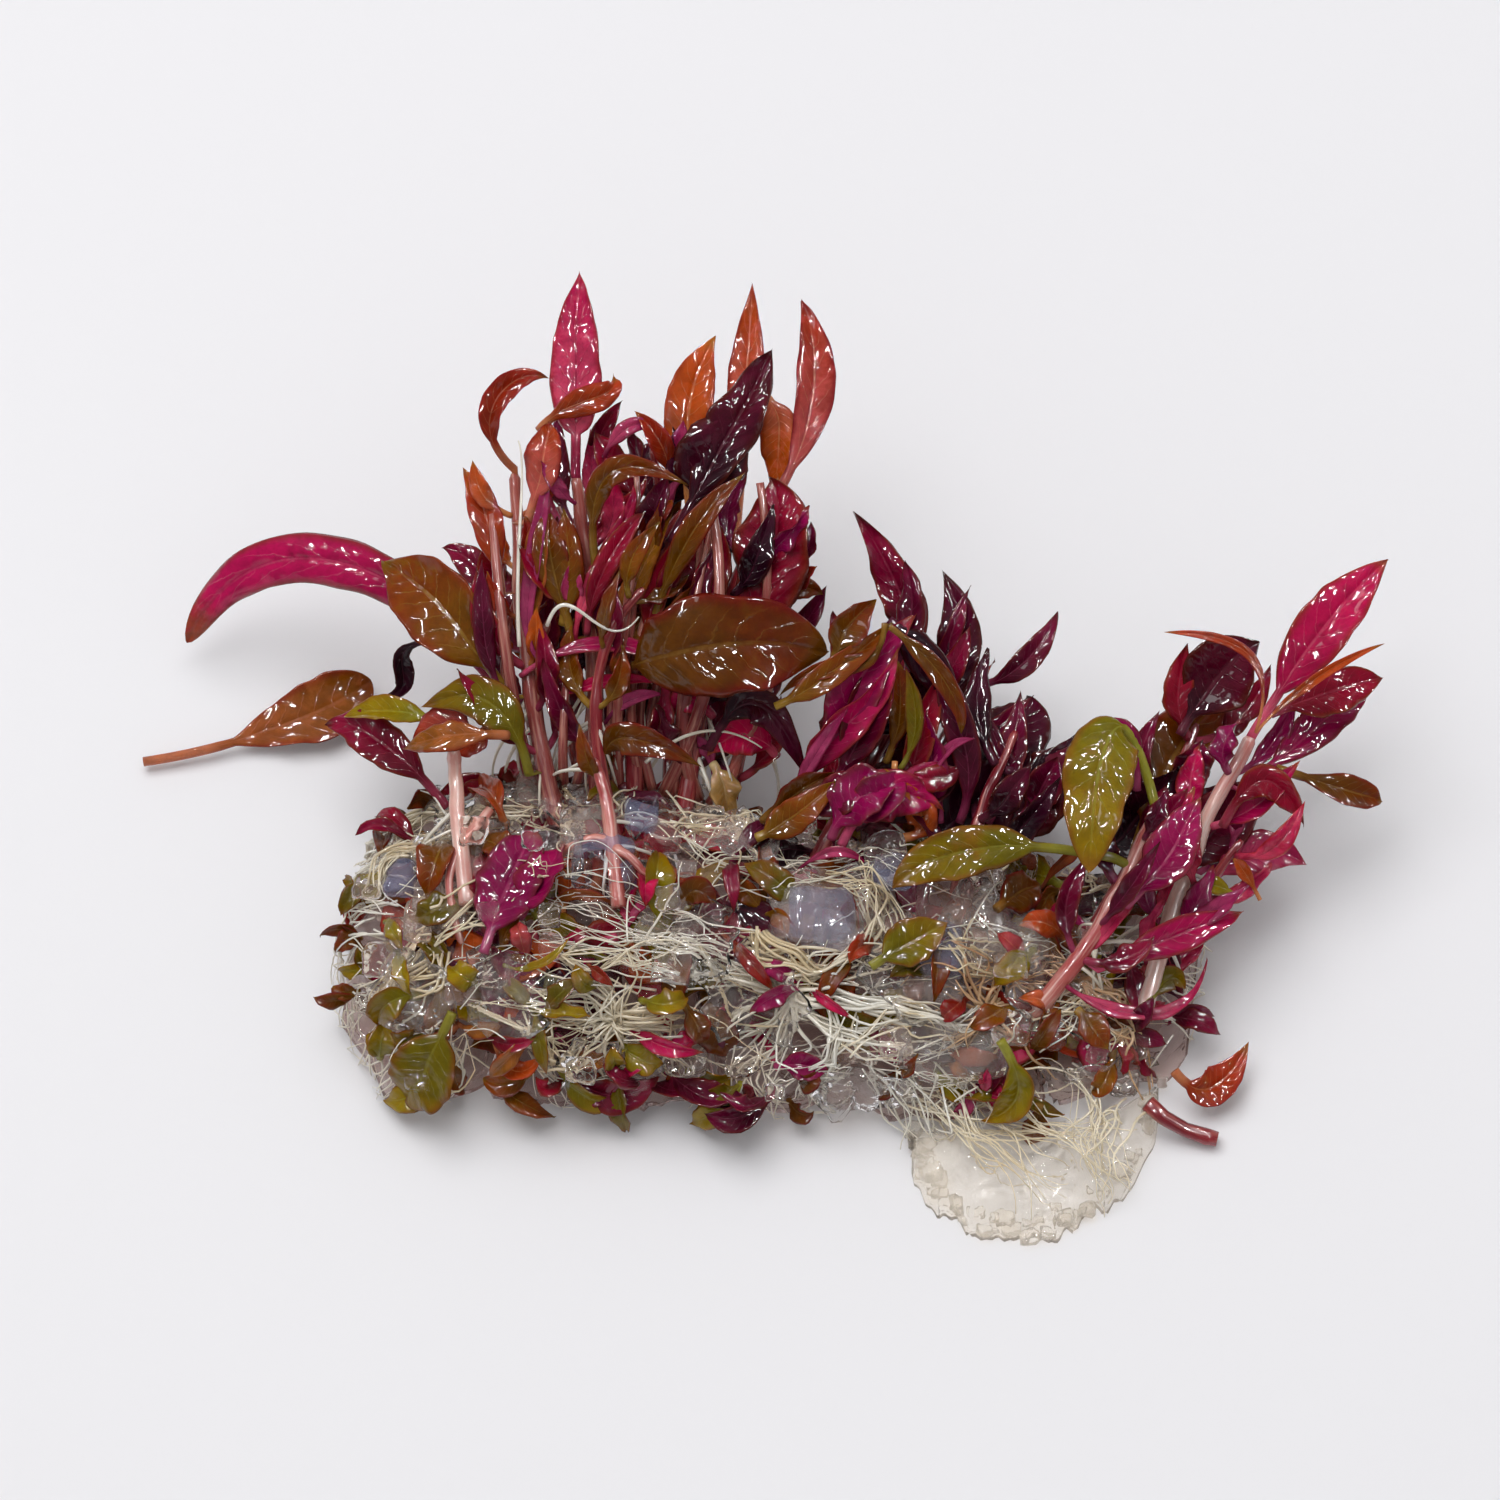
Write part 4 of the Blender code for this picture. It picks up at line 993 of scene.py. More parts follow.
# Leaves of the rose stem
# Olive blades that face the light, over a large bronze one that leans back, and mauve and crimson ones
# lower down.
stem_leaf("long_olive_leaf", ROSE, 0.75, ((17.5, 7, 17.5), (10, 3.5, 16)), 4.8, OLIVE, roll=-8, stalk=0.25,
          taper=0.9, tone=0.45)
stem_leaf("yellow_oval_leaf", ROSE, 1, ((31, 18, 20.5), (29, 12.5, 21), (28, 4.5, 17.5)), 6.6, OLIVE,
          stalk=0.34, taper=0.8, fold=10, tone=0.65)
stem_leaf("big_bronze_leaf", ROSE, 0.8, ((35.5, 18.5, 11), (41, 26.5, 11.5)), 7.6, BRONZE, stalk=0.2,
          tone=0.35)
stem_leaf("mauve_leaf", ROSE, 0.55, ((35.5, 6.5, 17.5), (38.5, 12, 18.5)), 4.8, MAGENTA, roll=-8, fold=20,
          tone=0.3)
stem_leaf("crimson_leaf", ROSE, 0.15, ((36, 0.5, 12), (42.5, 4, 10.5)), 3.4, MAGENTA, roll=12, fold=28,
          tone=0.6)
leaf("curled_copper_leaf", ((36, -9.5, 4), (39.5, -10.5, 2.4), (43, -6, 3)), 3.6, COPPER, fold=28,
     tone=0.45)

# Leaves of the pale stem
# The right-hand shoot: two magenta blades at its top and a glossy pink one low down.
stem_leaf("pink_leaf", PALE, 0.35, ((43.5, 10.5, 9), (48.5, 10, 8)), 4.2, ROSE_PINK, crinkle=0.25)
stem_leaf("pale_shoot_leaf", PALE, 1, ((50, 28, 21), (56, 34, 23.5)), 5.4, MAGENTA, fold=20, tone=0.75)
stem_leaf("pale_shoot_low_leaf", PALE, 0.8, ((50, 22.5, 13), (54.5, 27.5, 13)), 4.0, MAGENTA, tone=0.4)


# Small leaves of the bush
# Between the full-grown blades there are many narrower ones, some folded, some only their arching stalks.
# Each line is one leaf, as its width and its course; those of one colour are joined.
def small_leaves(name, material, *blades, detail=MIDDLING):
    """Smaller leaves of one colour as one piece, each bent and folded in its own way."""
    dice = random.Random(name)
    points, faces, marks = [], [], []
    for width, *course in blades:
        add_leaf(points, faces, marks, course, width, roll=dice.uniform(-25, 25), twist=dice.uniform(-50, 50),
                 fold=dice.uniform(8, 34), stalk=0.14, widest=dice.uniform(0.36, 0.5),
                 taper=dice.uniform(0.8, 1.15), wave=dice.uniform(0.0, 0.12) * width,
                 curl=dice.uniform(-0.25, 0.35), crinkle=0.14, tone=dice.random(), detail=detail)
    return leaf_piece(name, points, faces, marks, material)


small_leaves("bush_small_copper", COPPER,
             (2.8, (-23.5, 44, 31), (-20, 45.5, 33), (-17, 46.5, 33.5), (-16.5, 49, 33)),
             (2.2, (-11.5, 41, 26.5), (-12, 43, 30), (-14.5, 45.5, 32)),
             (2.4, (-18.5, 29, 21), (-16, 33, 24.5), (-13, 36.5, 26.5), (-11, 39, 26.5)),
             (1.5, (0.5, 31.5, 21.5), (1.5, 32.5, 23), (2.5, 33, 24.5)),
             (3.0, (-28.5, 20, 17), (-30, 18.5, 16.5), (-32, 18.5, 15)))
small_leaves("bush_small_rose", ROSE_PINK,
             (1.6, (-17.5, 42.5, 28.5), (-15, 44, 31.5), (-12, 45, 29.5)),
             (2.6, (-11.5, 39, 25.5), (-10.5, 42, 28.5), (-10, 45, 31)),
             (1.3, (-17.5, 20.5, 16.5), (-15, 22, 18.5), (-11.5, 22.5, 18.5)),
             (1.4, (-7.5, 17.5, 11.5), (-8, 19, 13.5), (-9, 20, 15)))
small_leaves("bush_small_wine", WINE_RED,
             (3.2, (-14.5, 40, 25), (-16.5, 42, 27), (-18.5, 45, 29)),
             (2.2, (-20.5, 30.5, 21), (-19.5, 35, 24.5), (-16, 38, 26), (-13.5, 41.5, 27)),
             (2.4, (-21.5, 29.5, 20.5), (-23, 34.5, 24), (-23.5, 39, 27.5)),
             (5.0, (-10, 30.5, 19.5), (-8, 33, 22.5), (-7, 37.5, 24.5)),
             (3.0, (-27, 32, 18.5), (-28.5, 35, 19.5), (-29, 37.5, 21)),
             (4.0, (-16.5, 26, 16.5), (-15.5, 29.5, 19), (-14, 32.5, 22)),
             (3.5, (-23, 26, 16.5), (-23.5, 30, 19.5), (-22.5, 34, 23)))
small_leaves("bush_small_dark", NIGHT_AND_SHADE,
             (7.0, (-9, 38.5, 26), (-7.5, 41.5, 30), (-4, 46, 32.5)),
             (2.0, (-33, 29.5, 16.5), (-37.5, 29, 14), (-37.5, 27.5, 11.5), (-41, 26.5, 9.5)),
             (4.0, (-20.5, 25.5, 16), (-19.5, 28.5, 19), (-18.5, 32.5, 22)),
             (5.0, (-14, 26.5, 15.5), (-12, 30.5, 19), (-10.5, 34.5, 21)))
small_leaves("bush_small_flame", FLAME,
             (3.6, (-2.5, 48, 30.5), (-1, 45, 28.5), (-2, 40.5, 24.5)),
             (3.8, (-30, 19.5, 16), (-32.5, 20.5, 16.5), (-36, 19.5, 14)))
small_leaves("bush_small_magenta", MAGENTA,
             (1.8, (-25.5, 24.5, 18.5), (-20, 26, 21.5), (-15, 26, 21.5), (-11, 24, 19.5)),
             (1.4, (-23, 22, 17.5), (-18, 23.5, 19), (-11.5, 23.5, 19)),
             (4.2, (-1.5, 19, 12.5), (-4.5, 20, 15), (-8, 18.5, 13.5)),
             (3.0, (-7.5, 22, 15), (-9.5, 22.5, 17.5), (-11.5, 21.5, 16)))
small_leaves("bush_small_bronze", BRONZE, (2.2, (-2.5, 31.5, 20.5), (0.5, 32, 22), (3, 32, 20.5)))
small_leaves("bush_small_olive", OLIVE, (2.8, (-33.5, 21.5, 15), (-38.5, 23, 14), (-43, 23.5, 12)))
small_leaves("bush_small_tan", TAN, (3.0, (-7.5, 18, 13), (-6.5, 16, 12), (-6, 14, 9)))

small_leaves("bush_straps_rust", RUST,
             (2.8, (-24.4, 27, 20), (-23.8, 32.2, 24.8), (-22.7, 37.7, 28.8)),
             (3.2, (-26.5, 18.5, 18), (-31.5, 17.3, 20), (-36.5, 17.5, 17)),
             (2.4, (-17.2, 26.7, 19.8), (-14.6, 31, 24.1), (-10.9, 36.6, 28.2)))
small_leaves("bush_straps_wine", WINE_RED,
             (2.4, (-19.1, 27.5, 21.2), (-17.3, 32, 25.7), (-13.4, 37, 28.5)),
             (2.6, (-13.6, 27, 20), (-12.5, 30.8, 23), (-9.3, 35.8, 26.8)),
             (2.2, (-27.6, 23.4, 18), (-28.7, 27.4, 22.1), (-28.8, 33, 26.2)))
small_leaves("bush_straps_rose", ROSE_PINK,
             (1.6, (-23, 25.2, 19.9), (-24.6, 28.6, 22.9), (-23.5, 34.9, 27.3), (-22.7, 40.2, 30.2)),
             (1.8, (-20.2, 26.6, 20.7), (-18.7, 31, 24.1), (-15.7, 35.8, 26.8), (-14.6, 39.4, 28.8)))
small_leaves("bush_straps_bronze", BRONZE,
             (3.0, (-21.4, 28.3, 21.7), (-20.6, 32.4, 25.9), (-21.1, 36.7, 29.3)))

# Small leaves of the middle stem
# They are crumpled into the gap between the bush and the right-hand shoots, dark under bright; the near-black
# ones are painted shade for that gap.
small_leaves("middle_small_bronze", BRONZE,
             (2.6, (-1, 19, 23), (4, 21.5, 24.5), (10, 26, 26.5)),
             (3.4, (-3, 9.5, 14.5), (0.5, 11, 16), (4.5, 13.5, 18.5)))
small_leaves("middle_small_wine", WINE_RED,
             (2.4, (6, 21.5, 20), (5, 22, 21.5), (3, 22.5, 21.5)),
             (3.0, (9.5, 23, 22), (11.5, 27.5, 24.5), (11, 32, 27.5)),
             (4.0, (1.5, 11.5, 14.5), (4.5, 12.5, 17), (6.5, 15, 18)),
             (1.8, (18, 23, 17), (20, 18, 14.5), (24, 13.5, 11.5)),
             (3.6, (21.5, 13, 11), (23.5, 15.5, 12.5), (25, 18, 14.5)),
             (5.0, (3, 17.5, 15), (5.5, 20, 17.5), (7.5, 23.5, 19.5)))
small_leaves("middle_small_olive", OLIVE, (1.8, (10.5, 15, 18), (12, 18.5, 20.5), (11, 22.5, 24)))
# Near-black blades: painted shade in the gap under the brighter leaves.
small_leaves("middle_small_dark", NIGHT_AND_SHADE,
             (3.5, (9.5, 27, 25), (13, 24, 22.5), (16, 20.5, 17.5)),
             (7.0, (6, 12, 11.5), (11, 15, 13), (16, 19, 14)),
             (7.0, (12.5, 10.5, 10.5), (17.5, 14.5, 12), (22.5, 19.5, 13)),
             (6.0, (7.5, 19, 16), (11, 22, 17.5), (14.5, 25.5, 19.5)),
             (7.0, (19, 11, 10), (23.5, 15.5, 11.5), (27.5, 20, 13.5)))
small_leaves("middle_small_magenta", MAGENTA, (5.5, (4, 9.5, 14.5), (6.5, 12, 17.5), (10.5, 14, 17.5)))
small_leaves("middle_small_copper", COPPER, (3.0, (10.5, 10, 13.5), (12.5, 11.5, 14.5), (9, 14.5, 19)))
small_leaves("middle_small_rose", ROSE_PINK, (1.6, (10, 13.5, 16.5), (12, 15, 17), (14, 16, 17.5)))

small_leaves("middle_straps_magenta", MAGENTA,
             (3.4, (1.4, 14.2, 14.6), (3.4, 17.1, 18.1), (7.3, 20, 21.5), (10.4, 24.4, 24.7)),
             (3.6, (14, 12.1, 12.6), (13.4, 16.3, 16.7), (12.4, 20.8, 19.9)),
             (4.2, (5.9, 11, 15), (8.6, 12.1, 17.5), (10.7, 14.5, 17.8)))
small_leaves("middle_straps_rose", ROSE_PINK,
             (1.5, (-0.1, 12.8, 14.9), (2.7, 16.4, 18.7), (5.7, 19.3, 22.1)),
             (1.1, (1, 7, 13), (4.5, 7.9, 15), (7.5, 7.3, 13.2)),
             (1.2, (12.5, 13.5, 14.5), (14.5, 16.5, 18), (17.5, 17.5, 19.5)))
small_leaves("middle_straps_wine", WINE_RED,
             (4.2, (3.7, 14.2, 14.6), (6.5, 17.7, 18.4), (8.5, 21.5, 21.3), (9.7, 24.8, 23.9)),
             (2.8, (10.9, 14.2, 14.6), (12.4, 18.3, 18.6), (14, 23.3, 21.1)),
             (2.6, (16.6, 16.7, 15.9), (14.1, 14.6, 16.8), (11.3, 14.9, 17)),
             (3.0, (15.9, 12.1, 12.6), (16.7, 16.3, 16.7), (15.4, 20.8, 19.9), (14, 24.4, 21.7)),
             (3.0, (18.5, 12.5, 11.5), (20.5, 17.5, 14), (21.5, 24.5, 15.5)))
small_leaves("middle_straps_bronze", BRONZE,
             (1.9, (9.2, 25.5, 27.2), (7.3, 22.8, 24.9), (3.3, 21.9, 24.5), (-0.8, 20.2, 22.6)),
             (2.0, (9.7, 25.2, 27.1), (12.6, 23.4, 25.2), (15.3, 20.7, 22.9), (16.2, 17.9, 19.4)),
             (2.4, (9.1, 16.3, 16.7), (10.5, 19.8, 20.4), (10.4, 23.2, 24.1)),
             (3.0, (-2.5, 11.4, 14.2), (1, 13.1, 17), (4.5, 14.5, 17.8)),
             (3.4, (4.6, 22.8, 24.9), (5.8, 25.2, 27.1), (8.5, 27.5, 28.2)))
small_leaves("middle_straps_copper", COPPER, (2.0, (10, 15.6, 18.3), (10.3, 13.1, 17), (11.6, 11.4, 14.2)))

# Small leaves of the right-hand shoots
# Narrow blades, long arching stalks and one cut end, around and behind the rose and the pale stem.
small_leaves("right_small_magenta", MAGENTA, (2.6, (32.5, 13.5, 16.5), (31.5, 17.5, 19.5), (28, 18, 19.5)))
small_leaves("right_small_rose", ROSE_PINK,
             (1.3, (27.5, -1, 10), (30, 1, 13), (33, 4.5, 14.5)),
             (1.5, *on_skin((26, 0.39, 2), (30, 0.32, 2), (35.5, 0.3, 2), (39, 0.45, 4))))
small_leaves("right_small_olive", OLIVE,
             (2.4, *on_skin((33.5, 0.34, 1), (35.5, 0.44, 2), (37, 0.38, 2))),
             (1.8, (41.5, 6, 9.5), (40, 6.5, 10.5), (38.5, 6.5, 10.5)))
small_leaves("right_small_wine", WINE_RED,
             (2.4, *on_skin((31.5, 0.5, 1), (32.5, 0.4, 1), (33, 0.31, 1))),
             (3.2, (40.5, 11.5, 13), (44.5, 14.5, 16.5), (48, 11.5, 12.5)),
             (4.6, (45, 21.5, 16.5), (50.5, 23, 18), (55.5, 24.5, 18)),
             (6.0, (35.5, 8, 8.5), (40, 12.5, 10.5), (44, 17, 12)))
small_leaves("right_small_bronze", BRONZE,
             (3.0, *on_skin((27, 0.34, 1), (28.5, 0.29, 1), (30, 0.25, 1))),
             (3.0, (45.5, 17, 14), (52, 16, 11.5), (55.5, 15.5, 10)),
             (4.0, *on_skin((19.5, 0.54, 1), (21.5, 0.59, 2), (23.5, 0.66, 2))))
small_leaves("right_small_dark", NIGHT_AND_SHADE,
             (7.0, (36.5, 21, 13), (40, 25.5, 16), (44, 28, 18.5)),
             (7.0, (27.5, 9.5, 9), (32.5, 13, 11), (36.5, 18.5, 13)))
small_leaves("right_small_copper", COPPER,
             (1.4, (44, 6, 8.5), (42.5, 8, 10.5), (41.5, 8.5, 12)),
             (1.0, (43.5, 17.5, 20.5), (49, 22.5, 21.5), (55.5, 25.5, 23)),
             (1.0, (43.5, 17.5, 20.5), (43.5, 23.5, 23), (39.5, 26.5, 22.5), (35, 27.5, 21.5)))

CUT_STEM = ((33.5, -12.5, 3.4), (35, -13.6, 2.6), (37, -14.4, 1.6), (39, -14.9, 1.1), (40, -15.1, 1.0))
CUT_STEM_RADII = (0.8, 0.75, 0.7, 0.8, 0.7)
points, faces, marks = [], [], []
add_tube(points, faces, marks, [Vector(p) for p in CUT_STEM], CUT_STEM_RADII, STEM_SIDES)
strands("cut_stem_end", points, faces, marks, red_flesh, "stem")

# Small leaves on the jelly
# The youngest shoots have only just come out of it: olive, bronze and magenta tips that lie on its skin or
# poke through. Their places are along the strip and up its front.
TIP_SHARE = 0.85
TIP_LIFTS = (-0.8, 0.6, 0.05)


def skin_leaves(name, material, *blades):
    """Small leaves that lie on the strip; each is a width, how far its middle stands off, and a course."""
    courses = []
    for width, lift, *course in blades:
        spots = [on_jelly(x, a, lift * share) for (x, a), share in zip(course, TIP_LIFTS)]
        courses.append((TIP_SHARE * width, *spots))
    return small_leaves(name, material, *courses)


skin_leaves("skin_olive_tips", OLIVE,
            (4.0, 2.0, (-30, 0.52), (-32.5, 0.46), (-35.5, 0.46)),
            (2.0, 1.4, (-38, 0.48), (-37, 0.43), (-36, 0.39)),
            (2.0, 1.4, (-36.5, 0.4), (-36, 0.35), (-35, 0.29)),
            (3.6, 1.6, (-34.5, 0.3), (-37, 0.29), (-38.5, 0.22)),
            (1.2, 2.4, (-27, 0.37), (-23, 0.35), (-20, 0.41)),
            (3.2, 2.2, (-29, 0.31), (-30, 0.34), (-31.5, 0.36)),
            (2.6, 2.2, (-22.5, 0.27), (-21, 0.3), (-19, 0.33)),
            (2.4, 2.2, (-17.5, 0.3), (-18.5, 0.33), (-19.5, 0.36)),
            (3.6, 2.4, (-12, 0.45), (-12, 0.53), (-12, 0.6)),
            (3.4, 2.4, (1.5, 0.51), (-1, 0.54), (-4, 0.58)),
            (3.0, 2.6, (-13.5, 0.27), (-11, 0.3), (-9, 0.3)),
            (3.6, 2.0, (-15.5, 0.18), (-13.5, 0.17), (-11.5, 0.15)),
            (3.2, 2.2, (23, 0.48), (21, 0.42), (19, 0.38)),
            (2.6, 2.0, (13, 0.38), (11.5, 0.39), (9.5, 0.37)))
skin_leaves("skin_bronze_tips", BRONZE,
            (3.2, 1.6, (-37, 0.96), (-39, 0.91), (-39, 0.62)),
            (4.2, 2.0, (-32.5, 0.67), (-33, 0.57), (-34, 0.5)),
            (3.8, 2.5, (-29, 0.63), (-27.5, 0.6), (-26, 0.56)),
            (3.2, 2.2, (-10.5, 0.48), (-8.5, 0.51), (-6.5, 0.49)),
            (3.0, 1.8, (-9.5, 0.28), (-8, 0.24), (-7.5, 0.21)),
            (3.0, 1.8, (21, 0.34), (19, 0.3), (17, 0.28)),
            (2.4, 1.8, (30.5, 0.2), (29.5, 0.14), (28.5, 0.1)))
skin_leaves("skin_copper_tips", COPPER,
            (3.0, 1.6, (-27, 0.67), (-28.5, 0.72), (-31.5, 0.95)),
            (1.4, 2.2, (-18.5, 0.36), (-17, 0.34), (-16, 0.31)),
            (2.4, 1.6, (-27.5, 0.17), (-25.5, 0.15), (-22.5, 0.19)),
            (1.8, 1.8, (-6, 0.44), (-3.5, 0.38), (-1, 0.32)),
            (2.6, 1.8, (8.5, 0.46), (7, 0.43), (6, 0.39)),
            (3.0, 1.8, (26, 0.52), (24, 0.53), (21.5, 0.53)),
            (2.6, 1.8, (17, 0.35), (15.5, 0.32), (14.5, 0.3)),
            (2.0, 1.4, (31.5, 0.24), (32, 0.16), (32.5, 0.1)))
skin_leaves("skin_wine_tips", WINE_RED,
            (3.4, 1.6, (-27.5, 0.43), (-28, 0.5), (-29, 0.6)),
            (4.2, 1.4, (-21, 0.09), (-16.5, 0.07), (-12, 0.09)),
            (1.8, 1.6, (-28.5, 0.18), (-25.5, 0.21), (-23, 0.23)))
skin_leaves("skin_magenta_tips", MAGENTA,
            (5.0, 1.4, (-25, 0.46), (-23, 0.51), (-21, 0.62)),
            (2.6, 4.0, (-13, 0.55), (-13, 0.52), (-13, 0.47)),
            (2.0, 2.2, (-15, 0.21), (-11.5, 0.21), (-7.5, 0.19)),
            (3.2, 1.0, (-1, 0.15), (1.5, 0.16), (4, 0.15)),
            (3.0, 1.8, (17.5, 0.07), (20, 0.12), (22.5, 0.1)))
skin_leaves("skin_flame_tips", FLAME,
            (2.4, 2.4, (-24, 0.37), (-24.5, 0.4), (-25, 0.43)),
            (2.4, 1.8, (22, 0.45), (21, 0.47), (19.5, 0.5)),
            (2.2, 2.0, (24.5, 0.33), (23.5, 0.36), (21.5, 0.36)))
small_leaves("round_leaf_left", COPPER, (4.2, (-39, 8, 4), (-41, 7, 4.5), (-41.5, 4, 2)))
small_leaves("brown_tip_below", BRONZE,
             (2.8, on_jelly(23.5, 0.07, 1.4), (23, -14.5, 2.4), (22.5, -16.5, 1.2)))

# Leaf pairs
# Every shoot bears its leaves in opposite pairs, each pair turned a quarter from the one below. The younger
# pairs fill the bush from inside, and its back.
HIGHEST_PAIR = 33.0
LOWEST_PAIR = 1.0


def leaf_pairs(name, material, route, pairs, first, last, length, width):
    """Opposite pairs of smaller leaves up a stem, as one piece."""
    dice = random.Random(name)
    points, faces, marks = [], [], []
    start = dice.uniform(0, 180)
    for pair in range(pairs):
        t = first + (last - first) * pair / max(1, pairs - 1)
        spot = through(route, t)
        along = heading(route, t)
        for half in (0, 180):
            turn = math.radians(start + 90 * pair + half + dice.uniform(-20, 20))
            out = along.orthogonal().normalized()
            out.rotate(Matrix.Rotation(turn, 3, along))
            reach = length * dice.uniform(0.7, 1.15)
            rise = dice.uniform(0.7, 1.3)
            course = [spot + out * 0.5, spot + out * reach * 0.36 + along * reach * 0.3 * rise,
                      spot + out * reach * dice.uniform(0.3, 0.65) + along * reach * 0.8 * rise]
            course[2].z = min(course[2].z, HIGHEST_PAIR)
            if min(p.z for p in course) < LOWEST_PAIR:
                continue
            add_leaf(points, faces, marks, course, width * dice.uniform(0.75, 1.2),
                     roll=dice.uniform(-30, 30), twist=dice.uniform(-70, 70), fold=dice.uniform(8, 36),
                     stalk=0.2, taper=dice.uniform(0.9, 1.2), wave=dice.uniform(0.1, 0.5),
                     curl=dice.uniform(-0.3, 0.4), tone=dice.random(), detail=MIDDLING)
    return leaf_piece(name, points, faces, marks, material)


leaf_pairs("pairs_tall_wine", WINE_RED, TALL, 4, 0.15, 0.6, 9.6, 2.5)
leaf_pairs("pairs_tall_copper", COPPER, TALL, 4, 0.45, 0.9, 8.4, 2.0)
leaf_pairs("pairs_wine_dark", WINE_RED, WINY, 3, 0.08, 0.5, 9.6, 2.4)
leaf_pairs("pairs_wine_rose", ROSE_PINK, WINY, 3, 0.5, 0.9, 8.4, 1.9)
leaf_pairs("pairs_red_wine", WINE_RED, RED, 4, 0.08, 0.8, 10.2, 2.4)
leaf_pairs("pairs_red_bronze", BRONZE, RED, 3, 0.2, 0.7, 9.6, 2.2)
leaf_pairs("pairs_dark_dark", NIGHT_AND_SHADE, DARK, 4, 0.08, 0.7, 10.8, 2.8)
leaf_pairs("pairs_dark_magenta", MAGENTA, DARK, 3, 0.3, 0.85, 9.6, 2.3)
leaf_pairs("pairs_back_wine", WINE_RED, BUSH_BACK, 5, 0.15, 0.95, 9.6, 2.5)
leaf_pairs("pairs_middle_of_bush", NIGHT_AND_SHADE, BUSH_MID, 4, 0.15, 0.8, 9.6, 2.4)
leaf_pairs("pairs_low_bronze", BRONZE, BUSH_LOW, 4, 0.1, 0.95, 8.4, 2.2)
leaf_pairs("pairs_right_of_bush", WINE_RED, BUSH_RIGHT, 5, 0.1, 0.95, 10.2, 2.8)
leaf_pairs("pairs_middle_stem", WINE_RED, MIDDLE, 3, 0.1, 0.9, 11.5, 2.6)
leaf_pairs("pairs_middle_back", WINE_RED, MIDDLE_BACK, 4, 0.1, 0.9, 12.5, 2.6)
leaf_pairs("pairs_middle_low", NIGHT_AND_SHADE, MIDDLE_LOW, 3, 0.1, 0.8, 11.5, 2.6)
leaf_pairs("pairs_rose_stem", WINE_RED, ROSE, 4, 0.15, 0.9, 9.6, 2.5)
leaf_pairs("pairs_pale_magenta", MAGENTA, PALE, 4, 0.15, 0.85, 9.6, 2.5)
leaf_pairs("pairs_right_back", WINE_RED, RIGHT_BACK, 5, 0.1, 0.95, 10.2, 3.0)
leaf_pairs("pairs_right_low", ROSE_PINK, RIGHT_LOW, 4, 0.1, 0.95, 8.4, 2.2)

# Leaf stalks
# Bare stalks whose blades are hidden rise through the bush, copper and rose.
STALK_ROOTS = 18
STALK_STEPS = 24
HIGHEST_STALK = 32.0
dice = random.Random(21)
points, faces, marks = [], [], []
for number in range(STALK_ROOTS):
    share = number / (STALK_ROOTS - 1)
    foot = on_jelly(-25 + 18 * share, 0.8, 0.2)
    top = Vector((-26 + 25 * share + dice.uniform(-3, 3), dice.uniform(28, 42), 0))
    top.z = min(HIGHEST_STALK, 0.62 * top.y + dice.uniform(-1, 5))
    bend = Vector((dice.uniform(-3, 3), dice.uniform(-3, 1), dice.uniform(0, 3)))
    course = (foot, foot.lerp(top, 0.5) + bend, top)
    path = [through(course, k / STALK_STEPS) for k in range(STALK_STEPS + 1)]
    thick = dice.uniform(0.4, 0.75)
    radii = [thick * (1 - 0.35 * k / STALK_STEPS) for k in range(STALK_STEPS + 1)]
    add_tube(points, faces, marks, path, radii, 8)
strands("bush_stalks", points, faces, marks, dusky_flesh, "stem")

# Leaves inside the jelly
# Shoots that are still sealed in show through it as dark, wine and olive shapes.
dice = random.Random(11)
for name, material, count in (("sealed_dark_leaves", NIGHT_AND_SHADE, 26), ("sealed_wine_leaves", WINE_RED, 36),
                              ("sealed_bronze_leaves", BRONZE, 36), ("sealed_olive_leaves", OLIVE, 28),
                              ("sealed_copper_leaves", COPPER, 20), ("sealed_magenta_leaves", MAGENTA, 12)):
    blades = []
    while len(blades) < count:
        x, a, turn = dice.uniform(-38, 33), dice.uniform(0.12, 0.85), dice.uniform(0, 2 * math.pi)
        length = dice.uniform(6, 10)
        ends = []
        for share in (0, 0.5, 1):
            rise = share * length * math.sin(turn) / SKIN_RUN
            ends.append((x + share * length * math.cos(turn), a + rise))
        if all(-40 < x < 35 and 0.1 < a < 0.9 for x, a in ends):
            width = dice.uniform(2.5, 4.5)
            blades.append((width, *[on_jelly(x, a, -dice.uniform(1.6, 3.6)) for x, a in ends]))
    small_leaves(name, material, *blades, detail=COARSE)

